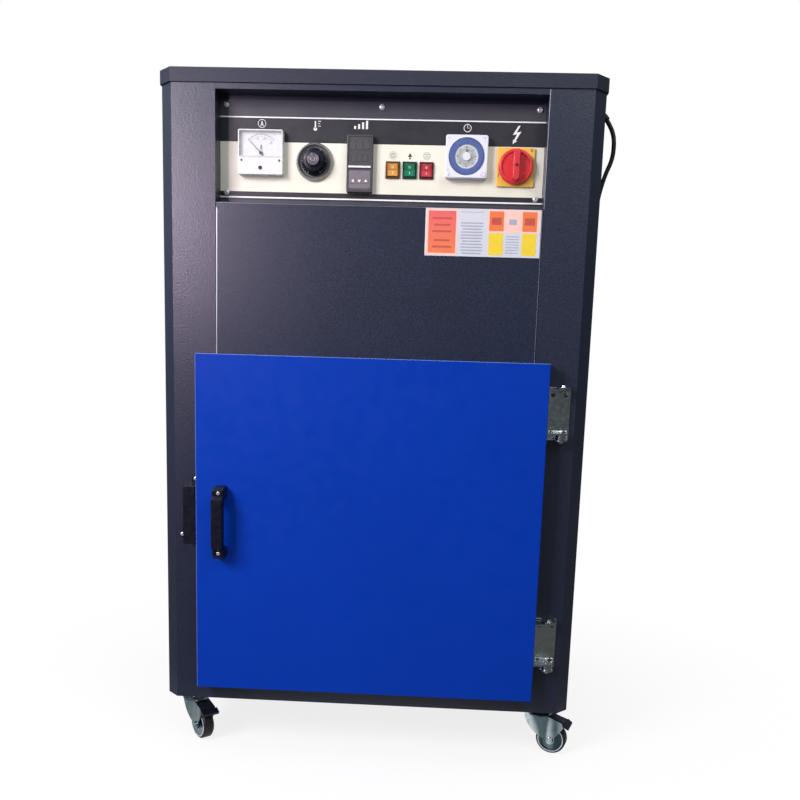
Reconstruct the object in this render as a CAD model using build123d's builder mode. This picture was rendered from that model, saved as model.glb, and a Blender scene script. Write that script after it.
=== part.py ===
from build123d import *
import os
from math import asin, ceil, cos, dist, pi, radians, sin, sqrt, tan

# Hot air drying oven: a chamfered sheet-steel cabinet on four casters, with a recessed control panel
# over a side-hung door. Millimetres. X runs to the viewer's right, the front faces -Y, +Z is up, and
# the origin is on the floor under the middle of the oven, its cord left out.

# Driving dimensions: cabinet
body_width = 774.0
body_depth = 640.0
body_height = 1116.0
corner_leg = 22.4
sheet = 1.5
cap_height = 24.0
cap_overhang = 3.0
caster_height = 93.0
post_inside_opening = 27.5
rear_flange = 34.0
base_lip = 25.0
base_plate_thickness = 2.0
vent_over_roof = 264.0
vent_slot_length = 100.0
vent_slot_height = 8.0
vent_pitch = (130.0, 22.0)

# Driving dimensions: control panel, heights measured from the cabinet's lower edge
recess_bottom = 919.0
recess_top = 1106.0
recess_depth = 36.7
recess_wall = 1.2
recess_flange = 14.0
fascia_thickness = 2.0
fascia_side_gap = 0.3
fascia_top_gap = 7.0
joint_gap = 1.2
seat_lap = 20.0
frame_over_opening = 59.0

# Driving dimensions: chamber
liner_step = 2.0
roof_over_opening = 44.0
plenum_height = 72.0
rear_space = 84.0
liner_wall = 1.2
insulation_thickness = 44.0
duct_width = 28.0
air_panel_wall = 1.0
tray_count = 5
runner_over_floor = 34.0
runner_under_ceiling = 2.0
runner_leg = 14.0
runner_wall = 1.5
tray_depth = 26.0
tray_wall = 1.2
tray_front_gap = 22.0
tray_rear_gap = 46.0

# Driving dimensions: fan, heater and exhaust
impeller_diameter = 190.0
impeller_height = 42.0
blade_count = 14
blade_wall = 1.6
inlet_diameter = 130.0
shaft_diameter = 12.0
motor_diameter = 124.0
motor_height = 118.0
motor_fins = 14
heater_rod = 8.0
heater_count = 4
heater_reach = 380.0
spigot_diameter = 63.0
spigot_wall = 1.5
spigot_length = 45.0
spigot_x = -150.0
spigot_flange = 17.0
duct_lap = 30.0
bead_width = 3.5
bead_height = 1.4
damper_shaft = 5.0
running_fit = 0.05

# Driving dimensions: door and its hardware
door_side_margin = 74.0
door_height = 618.0
door_lap = 53.0
door_lap_low = 45.0
door_lap_high = 73.0
door_thickness = 36.0
door_center_x = -2.0
door_bottom = 37.0
door_gap = 4.0
door_sheet = 1.5
door_return = 24.0
door_bulge = 10.0
gasket_width = 12.0
gasket_gap = 0.3
handle_inset = 47.0
handle_height = 38.0
handle_length = 132.0
handle_width = 22.0
handle_rise = 252.0
handle_bar = 14.0
catch_width = 23.0
catch_height = 108.0
catch_depth = 36.0
catch_over_handle = 20.0
catch_gap = 0.8
strike_thickness = 1.5
hinge_over_door_bottom = 103.0
hinge_under_door_top = 88.0
hinge_plate_width = 42.0
hinge_plate_height = 95.0
hinge_plate_wall = 2.5
hinge_hole_spread = 66.6
hinge_pin_offset = 26.5
hinge_pin_reach = 22.0
hinge_pin_diameter = 7.0
hinge_head_diameter = 11.0
hinge_ear_radius = 12.0
hinge_lug_wall = 3.0
hinge_bush_height = 9.0

# Driving dimensions: instruments, heights of their centres measured from the cabinet's lower edge,
# gaps between them counted from the panel's left edge to its right
panel_gaps = (34.7, 22.0, 25.0, 22.4, 19.7, 17.0, 16.2)
ammeter_height = 1008.5
ammeter_size = (80.0, 76.0)
ammeter_proud = 15.0
thermostat_height = 996.0
bezel_diameter = 66.0
bezel_proud = 7.0
dial_knob_diameter = 47.0
dial_knob_height = 27.0
controller_height = 993.0
controller_size = (46.0, 97.0)
controller_proud = 12.0
rocker_pitch = 29.9
rocker_height = 985.5
rocker_frame_size = (25.6, 29.0)
rocker_cap_size = (19.6, 22.6)
rocker_tilt = 8.0
timer_height = 1008.0
timer_size = (74.0, 72.0)
timer_proud = 16.0
timer_ring_diameter = 62.0
timer_hub_diameter = 41.0
timer_tappets = 48
switch_height = 994.0
switch_plate = 66.0
switch_plate_thickness = 4.0
switch_knob_diameter = 60.0
switch_knob_base = 9.0
switch_grip_height = 17.0
switch_grip_width = 15.0
fascia_screw_inset = 11.2
fascia_screw_heights = (941.0, 1090.5)
fascia_screw_diameter = 7.0

# Driving dimensions: casters, each angle is where the wheel trails, from +X towards +Y
caster_inset = 47.0
wheel_diameter = 58.0
wheel_width = 22.0
wheel_trail = 26.0
left_caster_angle = -48.0
right_caster_angle = -20.0
caster_plate = 64.0
caster_plate_wall = 2.5
caster_bolt_inset = 9.0
caster_bolt_hole = 6.4
kingpin_diameter = 10.0
kingpin_head = 16.0
bracket_width = 48.0
axle_eye = 9.0
fork_wall = 2.5
fork_side_gap = 2.0
fork_head_radius = 26.0
fork_top = 78.0
axle_diameter = 8.0
swivel_gap = 0.4

# Driving dimensions: cord
cord_diameter = 8.0
gland_y = 110.0
gland_height = 1104.0
gland_flange = 22.0
boot_root_diameter = 17.0
boot_tip_diameter = 11.2
elbow_radius = 22.0
elbow_turn = radians(55)
lane_offset = 12.0
touch_down = 765.0
coil_pitch = 8.8
coil_inner = 32.0
coil_half_turns_in = 6
coil_half_turns_out = 4
coil_clear_of_back = 205.0
coil_lead = 74.0
plug_width = 44.0
plug_length = 56.0
plug_thickness = 25.6

# Derived places
half_body = body_width / 2
door_width = body_width - 2 * door_side_margin
opening_width = door_width - 2 * door_lap
opening_height = door_height - door_lap_low - door_lap_high
opening_bottom = door_bottom + door_lap_low
frame_top = opening_bottom + opening_height + frame_over_opening
post_inner_x = opening_width / 2 + post_inside_opening
chamber_width = opening_width + 2 * liner_step
chamber_depth = body_depth - rear_space
chamber_floor = opening_bottom - 2 * liner_step
chamber_roof = opening_bottom + opening_height + roof_over_opening
ceiling_height = chamber_roof - plenum_height
first_runner = chamber_floor + runner_over_floor
tray_pitch = (ceiling_height - first_runner - runner_under_ceiling) / tray_count
tray_length = chamber_depth - tray_front_gap - tray_rear_gap
spigot_height = chamber_roof - plenum_height / 2
handle_bottom = door_bottom + handle_rise
catch_bottom = handle_bottom + catch_over_handle
hinge_heights = (door_bottom + hinge_over_door_bottom, door_bottom + door_height - hinge_under_door_top)
caster_x = half_body - caster_inset
front_reach = door_gap + door_thickness + handle_height
front_y = -(body_depth + spigot_length - front_reach) / 2
back_y = front_y + body_depth
base_z = caster_height
cap_z = base_z + body_height
fascia_y = front_y + recess_depth
fascia_back_y = fascia_y + fascia_thickness
recess_low_z = base_z + recess_bottom
recess_high_z = base_z + recess_top
recess_mid_z = (recess_low_z + recess_high_z) / 2
fascia_half_width = post_inner_x - fascia_side_gap
fascia_low_z = recess_low_z + fascia_side_gap
fascia_high_z = recess_high_z - fascia_top_gap
liner_front_y = front_y + sheet
liner_back_y = liner_front_y + chamber_depth
liner_low_z = base_z + chamber_floor
liner_high_z = base_z + chamber_roof
opening_mid_z = base_z + opening_bottom + opening_height / 2
ceiling_z = base_z + ceiling_height
air_panel_x = chamber_width / 2 - duct_width
door_face_y = front_y - door_gap - door_thickness
door_back_y = front_y - door_gap
door_mid_z = base_z + door_bottom + door_height / 2
door_left_x = door_center_x - door_width / 2
door_right_x = door_center_x + door_width / 2
handle_x = door_left_x + handle_inset
hinge_pin_x = door_right_x + hinge_pin_offset
hinge_pin_y = front_y - hinge_pin_reach
wheel_radius = wheel_diameter / 2

pieces = {}


def facing(y):
    """A plane at y that looks to the front: local x is X, local y is Z, extrusions run to -Y."""
    return Plane.XZ.offset(-y)


def level(z):
    """A level plane at z."""
    return Plane.XY.offset(z)


def sideways(x):
    """A plane at x that looks to the right: local x is Y, local y is Z, extrusions run to +X."""
    return Plane.YZ.offset(x)


def body_outline():
    """The cabinet's plan: a rectangle whose two front corners are cut at 45 degrees."""
    return [
        (-half_body + corner_leg, front_y),
        (half_body - corner_leg, front_y),
        (half_body, front_y + corner_leg),
        (half_body, back_y),
        (-half_body, back_y),
        (-half_body, front_y + corner_leg),
    ]


# Cabinet
with BuildPart() as left_side_panel:
    with BuildSketch(level(base_z)):
        with BuildLine():
            Polyline(*body_outline(), close=True)
        make_face()
        offset(amount=-sheet, kind=Kind.INTERSECTION, mode=Mode.SUBTRACT)
        # Everything between the posts goes, and at the back all but a flange.
        with Locations((half_body - post_inner_x, front_y)):
            Rectangle(body_width, body_depth, mode=Mode.SUBTRACT)
        with Locations((rear_flange, back_y)):
            Rectangle(body_width, body_depth, mode=Mode.SUBTRACT)
    extrude(amount=body_height)
pieces["left_side_panel"] = left_side_panel

with BuildPart() as right_side_panel:
    mirror(left_side_panel.part, about=Plane.YZ)
    with BuildSketch(sideways(half_body - 2 * sheet)):
        with Locations((front_y + gland_y, base_z + gland_height)):
            Circle(cord_diameter / 2 + 2.5)
    extrude(amount=4 * sheet, mode=Mode.SUBTRACT)
pieces["right_side_panel"] = right_side_panel

back_panel_width = body_width - 2 * sheet - 1.0
back_hole = spigot_diameter / 2 + 0.5
with BuildPart() as back_panel:
    with BuildSketch(facing(back_y - sheet)):
        with Locations((0, base_z + (base_lip + body_height) / 2)):
            Rectangle(back_panel_width, body_height - base_lip)
        with Locations((spigot_x, base_z + spigot_height)):
            Circle(back_hole, mode=Mode.SUBTRACT)
        # Two fields of cooling slots beside the motor space
        with Locations((0, base_z + chamber_roof + vent_over_roof)):
            with GridLocations(vent_pitch[0], vent_pitch[1], 2, 6):
                SlotOverall(vent_slot_length, vent_slot_height, mode=Mode.SUBTRACT)
    extrude(amount=sheet)
    # Stiffening folds at the two long edges
    with BuildSketch(level(base_z + base_lip)):
        with Locations(
            (-back_panel_width / 2 + sheet / 2, back_y - 2 * sheet - 6),
            (back_panel_width / 2 - sheet / 2, back_y - 2 * sheet - 6),
        ):
            Rectangle(sheet, 12)
    extrude(amount=body_height - base_lip)
pieces["back_panel"] = back_panel

with BuildPart() as base_pan:
    with BuildSketch(level(base_z)) as pan_plan:
        with BuildLine():
            Polyline(*body_outline(), close=True)
        make_face()
        offset(amount=-sheet - 0.2, kind=Kind.INTERSECTION)
    extrude(amount=base_lip)
    with BuildSketch(level(base_z + base_plate_thickness)):
        add(pan_plan.sketch_local)
        offset(amount=-base_plate_thickness, kind=Kind.INTERSECTION)
    extrude(amount=base_lip, mode=Mode.SUBTRACT)
pieces["base_pan"] = base_pan

with BuildPart() as top_cap:
    with BuildSketch(level(cap_z)) as cap_plan:
        with BuildLine():
            Polyline(*body_outline(), close=True)
        make_face()
        offset(amount=cap_overhang, kind=Kind.INTERSECTION)
    extrude(amount=cap_height)
    cap_rim = top_cap.faces().sort_by(Axis.Z)[-1].edges()
    fillet(cap_rim, radius=sheet)
    with BuildSketch(level(cap_z + sheet)):
        add(cap_plan.sketch_local)
        offset(amount=-sheet, kind=Kind.INTERSECTION)
    extrude(amount=cap_height - 2 * sheet, mode=Mode.SUBTRACT)
    with BuildSketch(level(cap_z)):
        add(cap_plan.sketch_local)
        offset(amount=-base_lip, kind=Kind.INTERSECTION)
    extrude(amount=sheet, mode=Mode.SUBTRACT)
pieces["top_cap"] = top_cap

frame_half_width = post_inner_x - 0.2
with BuildPart() as front_frame:
    with BuildSketch(facing(front_y + sheet)):
        with Locations((0, base_z + frame_top / 2)):
            Rectangle(2 * frame_half_width, frame_top)
        with Locations((0, opening_mid_z)):
            Rectangle(opening_width, opening_height, mode=Mode.SUBTRACT)
    extrude(amount=sheet)
    # The joggled lap on which the cover panel seats
    lap_overlap = 10.0
    with BuildSketch(facing(front_y + 2 * sheet)):
        with Locations((0, base_z + frame_top + (seat_lap - lap_overlap) / 2)):
            Rectangle(opening_width, seat_lap + lap_overlap)
    extrude(amount=sheet)
pieces["front_frame"] = front_frame

cover_half_width = post_inner_x - joint_gap
cover_fold = 12.0
with BuildPart() as cover_panel:
    cover_low_z = base_z + frame_top + 0.2
    cover_high_z = recess_low_z - joint_gap
    cover_height = cover_high_z - cover_low_z
    with BuildSketch(facing(front_y + sheet)):
        with Locations((0, (cover_low_z + cover_high_z) / 2)):
            Rectangle(2 * cover_half_width, cover_height)
    extrude(amount=sheet)
    fillet(cover_panel.edges().filter_by(Axis.Z).group_by(Axis.Y)[0], radius=sheet / 2)
    with BuildSketch(level(cover_low_z)):
        with Locations(
            (-cover_half_width + sheet / 2, front_y + sheet + cover_fold / 2),
            (cover_half_width - sheet / 2, front_y + sheet + cover_fold / 2),
        ):
            Rectangle(sheet, cover_fold)
    extrude(amount=cover_height)
pieces["cover_panel"] = cover_panel

# Control panel
recess_back_y = fascia_back_y + recess_wall
with BuildPart() as control_recess:
    with BuildSketch(facing(front_y + sheet)):
        with Locations((0, recess_mid_z)):
            Rectangle(
                2 * (post_inner_x + recess_wall),
                recess_high_z - recess_low_z + 2 * recess_wall,
            )
            Rectangle(2 * post_inner_x, recess_high_z - recess_low_z, mode=Mode.SUBTRACT)
    extrude(amount=-(recess_back_y - front_y - sheet))
    # Rear flange behind the fascia
    with BuildSketch(facing(recess_back_y)):
        with Locations((0, recess_mid_z)):
            Rectangle(2 * post_inner_x, recess_high_z - recess_low_z)
            Rectangle(
                2 * (post_inner_x - recess_flange),
                recess_high_z - recess_low_z - 2 * recess_flange,
                mode=Mode.SUBTRACT,
            )
    extrude(amount=recess_wall)
    # Header strip under the cap, flush with the posts
    with BuildSketch(facing(front_y + sheet)):
        with Locations((0, (recess_high_z + cap_z) / 2)):
            Rectangle(2 * frame_half_width, cap_z - recess_high_z)
    extrude(amount=sheet)
    with BuildSketch(facing(front_y + 2 * sheet)):
        with Locations((0, (recess_high_z + cap_z) / 2)):
            Rectangle(2 * frame_half_width, cap_z - recess_high_z)
    extrude(amount=sheet)
    # Lower lap behind the cover panel's top edge
    with BuildSketch(facing(front_y + 2 * sheet)):
        with Locations((0, recess_low_z - seat_lap / 2)):
            Rectangle(opening_width, seat_lap)
    extrude(amount=sheet)
pieces["control_recess"] = control_recess


# The instruments share the panel's free width in the proportion of their gaps.
instrument_widths = (
    ammeter_size[0],
    bezel_diameter,
    controller_size[0],
    rocker_frame_size[0] + 2 * rocker_pitch,
    timer_size[0],
    switch_plate,
)
gap_scale = (2 * fascia_half_width - sum(instrument_widths)) / sum(panel_gaps)


def panel_place(index, height):
    """Centre of the instrument of that index from the left, at a height over the cabinet's lower edge."""
    left_edge = -fascia_half_width + sum(instrument_widths[:index]) + gap_scale * sum(panel_gaps[: index + 1])
    return (left_edge + instrument_widths[index] / 2, base_z + height)


ammeter_at = panel_place(0, ammeter_height)
thermostat_at = panel_place(1, thermostat_height)
controller_at = panel_place(2, controller_height)
rocker_row_at = panel_place(3, rocker_height)
timer_at = panel_place(4, timer_height)
switch_at = panel_place(5, switch_height)
fascia_screw_x = fascia_half_width - fascia_screw_inset


def rocker_centres():
    """The three rocker switches stand in a row."""
    return [(rocker_row_at[0] + i * rocker_pitch, rocker_row_at[1]) for i in (-1, 0, 1)]


def fascia_screw_places():
    """Three screws along the top edge and two along the bottom."""
    low, high = fascia_screw_heights
    top_row = [(x, base_z + high) for x in (-fascia_screw_x, 0, fascia_screw_x)]
    return top_row + [(x, base_z + low) for x in (-fascia_screw_x, fascia_screw_x)]


screw_shank = fascia_screw_diameter / 2
ammeter_barrel = 62.0
timer_body = 66.0
controller_body = (42.0, 90.0)
rocker_body = (21.6, 25.6)
stem_hole = 14.0
cut_clearance = 0.4
with BuildPart() as control_fascia:
    with BuildSketch(facing(fascia_back_y)):
        with Locations((0, (fascia_low_z + fascia_high_z) / 2)):
            Rectangle(2 * fascia_half_width, fascia_high_z - fascia_low_z)
        with Locations(ammeter_at):
            Circle(ammeter_barrel / 2 + cut_clearance, mode=Mode.SUBTRACT)
        with Locations(thermostat_at, switch_at):
            Circle(stem_hole / 2, mode=Mode.SUBTRACT)
        with Locations(controller_at):
            Rectangle(
                controller_body[0] + cut_clearance,
                controller_body[1] + cut_clearance,
                mode=Mode.SUBTRACT,
            )
        with Locations(timer_at):
            Rectangle(timer_body + cut_clearance, timer_body + cut_clearance, mode=Mode.SUBTRACT)
        with Locations(*rocker_centres()):
            Rectangle(
                rocker_body[0] + cut_clearance,
                rocker_body[1] + cut_clearance,
                mode=Mode.SUBTRACT,
            )
        with Locations(*fascia_screw_places()):
            Circle(screw_shank / 2 + running_fit, mode=Mode.SUBTRACT)
    extrude(amount=fascia_thickness)
pieces["control_fascia"] = control_fascia

with BuildPart() as fascia_screws:
    dome = 2.2
    with BuildSketch(facing(fascia_y)):
        with Locations(*fascia_screw_places()):
            Circle(fascia_screw_diameter / 2)
    extrude(amount=dome)
    fillet(fascia_screws.faces().group_by(Axis.Y)[0].edges(), radius=dome * 0.8)
    with BuildSketch(facing(fascia_y)):
        with Locations(*fascia_screw_places()):
            Circle(screw_shank / 2)
    extrude(amount=-fascia_thickness)
pieces["fascia_screws"] = fascia_screws

# Ammeter
ammeter_wall = 2.0
ammeter_floor = 7.0
window_thickness = 1.5
ammeter_x, ammeter_z = ammeter_at
window_height = ammeter_size[1] * 0.56
window_z = ammeter_z + (ammeter_size[1] - window_height) / 2 - ammeter_wall
ammeter_face_y = fascia_y - ammeter_proud
needle_pivot = 1.5
needle_z = window_z - window_height / 2 + 6
with BuildPart() as ammeter_case:
    with BuildSketch(facing(fascia_y)):
        with Locations((ammeter_x, ammeter_z)):
            RectangleRounded(ammeter_size[0], ammeter_size[1], 3)
    extrude(amount=ammeter_proud)
    fillet(ammeter_case.faces().sort_by(Axis.Y)[0].edges(), radius=1.2)
    with BuildSketch(facing(fascia_y)):
        with Locations((ammeter_x, ammeter_z)):
            Circle(ammeter_barrel / 2)
    extrude(amount=-35)
    with BuildSketch(facing(fascia_y - ammeter_floor)):
        with Locations((ammeter_x, window_z)):
            Rectangle(ammeter_size[0] - 2 * ammeter_wall, window_height)
    extrude(amount=ammeter_proud, mode=Mode.SUBTRACT)
    with BuildSketch(facing(fascia_y - ammeter_floor)):
        with Locations((ammeter_x, needle_z)):
            Circle(needle_pivot + running_fit)
    extrude(amount=-3, mode=Mode.SUBTRACT)
pieces["ammeter_case"] = ammeter_case

with BuildPart() as ammeter_window:
    with BuildSketch(facing(ammeter_face_y + window_thickness)):
        with Locations((ammeter_x, window_z)):
            Rectangle(ammeter_size[0] - 2 * ammeter_wall, window_height)
    extrude(amount=window_thickness)
pieces["ammeter_window"] = ammeter_window

# The needle turns above the lower edge of the window and rests at zero, to the left.
needle_sweep = 90.0
needle_length = 30.0
needle_y = fascia_y - ammeter_floor - 2.4
needle_plane = Plane(
    origin=(ammeter_x, needle_y, needle_z),
    x_dir=(-sin(radians(needle_sweep / 2)), 0, cos(radians(needle_sweep / 2))),
    z_dir=(0, -1, 0),
)
with BuildPart() as ammeter_needle:
    with BuildSketch(needle_plane):
        Circle(3)
        with BuildLine():
            Polyline((-6, 0.8), (-6, -0.8), (needle_length, -0.25), (needle_length, 0.25), close=True)
        make_face()
    extrude(amount=0.8)
    with BuildSketch(facing(needle_y)):
        with Locations((ammeter_x, needle_z)):
            Circle(needle_pivot)
    extrude(amount=-4.5)
pieces["ammeter_needle"] = ammeter_needle

# Thermostat: a dished ring behind a fluted knob with a raised hub
bezel_inner = dial_knob_diameter / 2 + 1.2
stat_x, stat_z = thermostat_at
stat_plane = Plane(origin=(stat_x, fascia_y, stat_z), x_dir=(1, 0, 0), z_dir=(0, 0, -1))
stat_axis = Axis((stat_x, fascia_y, stat_z), (0, -1, 0))
with BuildPart() as thermostat_bezel:
    with BuildSketch(stat_plane):
        with BuildLine():
            Polyline(
                (stem_hole / 2 + 1, 0),
                (bezel_diameter / 2, 0),
                (bezel_diameter / 2, 2.5),
                (bezel_diameter / 2 - 2.5, bezel_proud),
                (bezel_diameter / 2 - 4, bezel_proud),
                (bezel_inner + 0.6, 2.2),
                (stem_hole / 2 + 1, 1.6),
                close=True,
            )
        make_face()
    revolve(axis=stat_axis)
    # Degree ridges on the ring's cone
    with BuildSketch(facing(fascia_y)):
        with Locations((stat_x, stat_z)):
            with PolarLocations(bezel_diameter / 2 - 3.2, 24):
                Rectangle(2.4, 0.7)
    extrude(amount=bezel_proud + 0.3)
pieces["thermostat_bezel"] = thermostat_bezel

knob_gap = 2.6
with BuildPart() as thermostat_knob:
    skirt_radius = dial_knob_diameter / 2
    grip_radius = skirt_radius - 4
    hub_radius = 12.5
    with BuildSketch(stat_plane):
        with BuildLine():
            Polyline(
                (0, knob_gap),
                (skirt_radius, knob_gap),
                (skirt_radius, knob_gap + 4.5),
                (grip_radius, knob_gap + 7),
                (grip_radius - 2.2, dial_knob_height - 5),
                (hub_radius, dial_knob_height - 4),
                (hub_radius - 1.5, dial_knob_height),
                (0, dial_knob_height),
                close=True,
            )
        make_face()
    revolve(axis=stat_axis)
    # Finger flutes round the grip
    with BuildSketch(facing(fascia_y - knob_gap - 7)):
        with Locations((stat_x, stat_z)):
            with PolarLocations(grip_radius + 1.2, 12, start_angle=15):
                Circle(2.8)
    extrude(amount=dial_knob_height, mode=Mode.SUBTRACT)
    # Spindle through the fascia
    with BuildSketch(facing(fascia_y - knob_gap - 1)):
        with Locations((stat_x, stat_z)):
            Circle(3)
    extrude(amount=-(knob_gap + 12))
pieces["thermostat_knob"] = thermostat_knob

# Temperature controller: display window above, key field below
control_x, control_z = controller_at
display_split = 0.55
with BuildPart() as temperature_controller:
    with BuildSketch(facing(fascia_y)):
        with Locations((control_x, control_z)):
            RectangleRounded(controller_size[0], controller_size[1], 2)
    extrude(amount=controller_proud)
    fillet(temperature_controller.faces().sort_by(Axis.Y)[0].edges(), radius=1.2)
    with BuildSketch(facing(fascia_y)):
        with Locations((control_x, control_z)):
            Rectangle(controller_body[0], controller_body[1])
    extrude(amount=-60)
    display_height = controller_size[1] * display_split - 5
    keys_height = controller_size[1] * (1 - display_split) - 6
    with BuildSketch(facing(fascia_y - controller_proud)):
        with Locations((control_x, control_z + controller_size[1] / 2 - 3 - display_height / 2)):
            Rectangle(controller_size[0] - 6, display_height)
        with Locations((control_x, control_z - controller_size[1] / 2 + 3 + keys_height / 2)):
            RectangleRounded(controller_size[0] - 6, keys_height, 1.5)
    extrude(amount=-1.2, mode=Mode.SUBTRACT)
    # Three digit windows stand in the display's floor
    with BuildSketch(facing(fascia_y - controller_proud + 1.2)):
        with Locations((control_x, control_z + controller_size[1] / 2 - 3 - display_height * 0.3)):
            with GridLocations(12, 0, 3, 1):
                Rectangle(9, 15)
        with Locations((control_x, control_z + controller_size[1] / 2 - 3 - display_height * 0.75)):
            with GridLocations(10, 0, 3, 1):
                Rectangle(7.5, 11)
    extrude(amount=0.4)
pieces["temperature_controller"] = temperature_controller

# Rocker switches
rocker_frame_proud = 3.2
rocker_slot = 0.5
rocker_pivot_y = fascia_y - 1.5
rocker_pin = 1.0
rocker_pin_reach = rocker_cap_size[0] / 2 + rocker_slot + 1.2
with BuildPart() as rocker_frames:
    with BuildSketch(facing(fascia_y)):
        with Locations(*rocker_centres()):
            RectangleRounded(rocker_frame_size[0], rocker_frame_size[1], 1.2)
    extrude(amount=rocker_frame_proud)
    fillet(rocker_frames.faces().group_by(Axis.Y)[0].edges(), radius=0.8)
    with BuildSketch(facing(fascia_y)):
        with Locations(*rocker_centres()):
            Rectangle(rocker_body[0], rocker_body[1])
    extrude(amount=-20)
    with BuildSketch(facing(fascia_y + 14)):
        with Locations(*rocker_centres()):
            Rectangle(rocker_cap_size[0] + 2 * rocker_slot, rocker_cap_size[1] + 2 * rocker_slot)
    extrude(amount=30, mode=Mode.SUBTRACT)
    # Bearings for the rockers' pins
    for centre_x, centre_z in rocker_centres():
        with BuildSketch(sideways(centre_x - rocker_pin_reach - 0.2)):
            with Locations((rocker_pivot_y, centre_z)):
                Circle(rocker_pin + running_fit)
        extrude(amount=2 * rocker_pin_reach + 0.4, mode=Mode.SUBTRACT)
pieces["rocker_frames"] = rocker_frames


def rocker_cap(centre):
    """A rocker turned back by its tilt: two flat fields that meet in a shallow valley, round ends."""
    tilt = radians(rocker_tilt)
    plane = Plane(
        origin=(centre[0] - rocker_cap_size[0] / 2, rocker_pivot_y, centre[1]),
        x_dir=(0, cos(tilt), sin(tilt)),
        z_dir=(1, 0, 0),
    )
    end_radius = rocker_cap_size[1] / 2
    reach = 5.0
    half = sqrt(end_radius**2 - reach**2)
    with BuildPart() as cap:
        with BuildSketch(plane):
            with BuildLine():
                Line((-reach, half), (-reach + 1.6, 0))
                Line((-reach + 1.6, 0), (-reach, -half))
                ThreePointArc((-reach, -half), (0, -end_radius), (reach, -half))
                Line((reach, -half), (reach, half))
                ThreePointArc((reach, half), (0, end_radius), (-reach, half))
            make_face()
        extrude(amount=rocker_cap_size[0])
        # Pivot pins in the frame's side walls
        with BuildSketch(sideways(centre[0] - rocker_pin_reach)):
            with Locations((rocker_pivot_y, centre[1])):
                Circle(rocker_pin)
        extrude(amount=2 * rocker_pin_reach)
    return cap


for colour, centre in zip(("amber", "green", "red"), rocker_centres()):
    pieces[f"rocker_{colour}"] = rocker_cap(centre)

# Time switch: a square case whose front carries a ring of tappets round a hub
timer_x, timer_z = timer_at
timer_recess = 6.0
timer_spindle = 3.0
timer_face_y = fascia_y - timer_proud
with BuildPart() as timer_case:
    with BuildSketch(facing(fascia_y)):
        with Locations((timer_x, timer_z)):
            RectangleRounded(timer_size[0], timer_size[1], 4)
    extrude(amount=timer_proud)
    fillet(timer_case.faces().sort_by(Axis.Y)[0].edges(), radius=1.5)
    with BuildSketch(facing(fascia_y)):
        with Locations((timer_x, timer_z)):
            Rectangle(timer_body, timer_body)
    extrude(amount=-40)
    with BuildSketch(facing(timer_face_y + timer_recess)):
        with Locations((timer_x, timer_z)):
            Circle(timer_ring_diameter / 2 + 0.6)
    extrude(amount=timer_recess, mode=Mode.SUBTRACT)
    with BuildSketch(facing(timer_face_y + timer_recess)):
        with Locations((timer_x, timer_z)):
            Circle(timer_spindle + running_fit)
    extrude(amount=-5, mode=Mode.SUBTRACT)
    # A small lock knob in one corner and a setting lever in the other
    with BuildSketch(facing(timer_face_y)):
        with Locations((timer_x + timer_size[0] / 2 - 6, timer_z - timer_size[1] / 2 + 6)):
            Circle(2.6)
        with Locations((timer_x - timer_size[0] / 2 + 6, timer_z - timer_size[1] / 2 + 6)):
            Rectangle(2, 6)
    extrude(amount=1.6)
pieces["timer_case"] = timer_case

ring_low_y = timer_face_y + timer_recess - 0.3
with BuildPart() as timer_dial:
    ring_radius = timer_ring_diameter / 2
    with BuildSketch(facing(ring_low_y)):
        with Locations((timer_x, timer_z)):
            Circle(ring_radius)
    extrude(amount=2.5)
    with BuildSketch(facing(ring_low_y)):
        with Locations((timer_x, timer_z)):
            Circle(timer_spindle)
    extrude(amount=-4.5)
    with BuildSketch(facing(ring_low_y - 2.5)):
        with Locations((timer_x, timer_z)):
            Circle(ring_radius)
            Circle(timer_hub_diameter / 2, mode=Mode.SUBTRACT)
    extrude(amount=2.6)
    # Slots between the tappets
    with BuildSketch(facing(ring_low_y - 3.4)):
        with Locations((timer_x, timer_z)):
            with PolarLocations(ring_radius - 1.5, timer_tappets):
                Rectangle(3.4, 0.9)
    extrude(amount=2, mode=Mode.SUBTRACT)
pieces["timer_dial"] = timer_dial

with BuildPart() as timer_hub:
    with BuildSketch(facing(ring_low_y - 2.5)):
        with Locations((timer_x, timer_z)):
            Circle(timer_hub_diameter / 2 - running_fit)
    extrude(amount=1.2)
    with BuildSketch(facing(ring_low_y - 3.7)):
        with Locations((timer_x, timer_z)):
            Circle(7)
            Polygon((-2, 6), (2, 6), (0, 13), align=None)
    extrude(amount=3)
pieces["timer_hub"] = timer_hub

# Main switch
switch_x, switch_z = switch_at
switch_plate_y = fascia_y - switch_plate_thickness
with BuildPart() as main_switch_plate:
    with BuildSketch(facing(fascia_y)):
        with Locations((switch_x, switch_z)):
            RectangleRounded(switch_plate, switch_plate, 3)
    extrude(amount=switch_plate_thickness)
    fillet(main_switch_plate.faces().sort_by(Axis.Y)[0].edges(), radius=1)
    with BuildSketch(facing(fascia_back_y)):
        with Locations((switch_x, switch_z)):
            RectangleRounded(46, 46, 3)
    extrude(amount=-38)
    with BuildSketch(facing(fascia_back_y)):
        with Locations((switch_x, switch_z)):
            Circle(stem_hole / 2 - 0.5)
    extrude(amount=fascia_thickness)
    with BuildSketch(facing(fascia_back_y + 12)):
        with Locations((switch_x, switch_z)):
            Circle(4 + running_fit)
    extrude(amount=60, mode=Mode.SUBTRACT)
pieces["main_switch_plate"] = main_switch_plate

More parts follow.
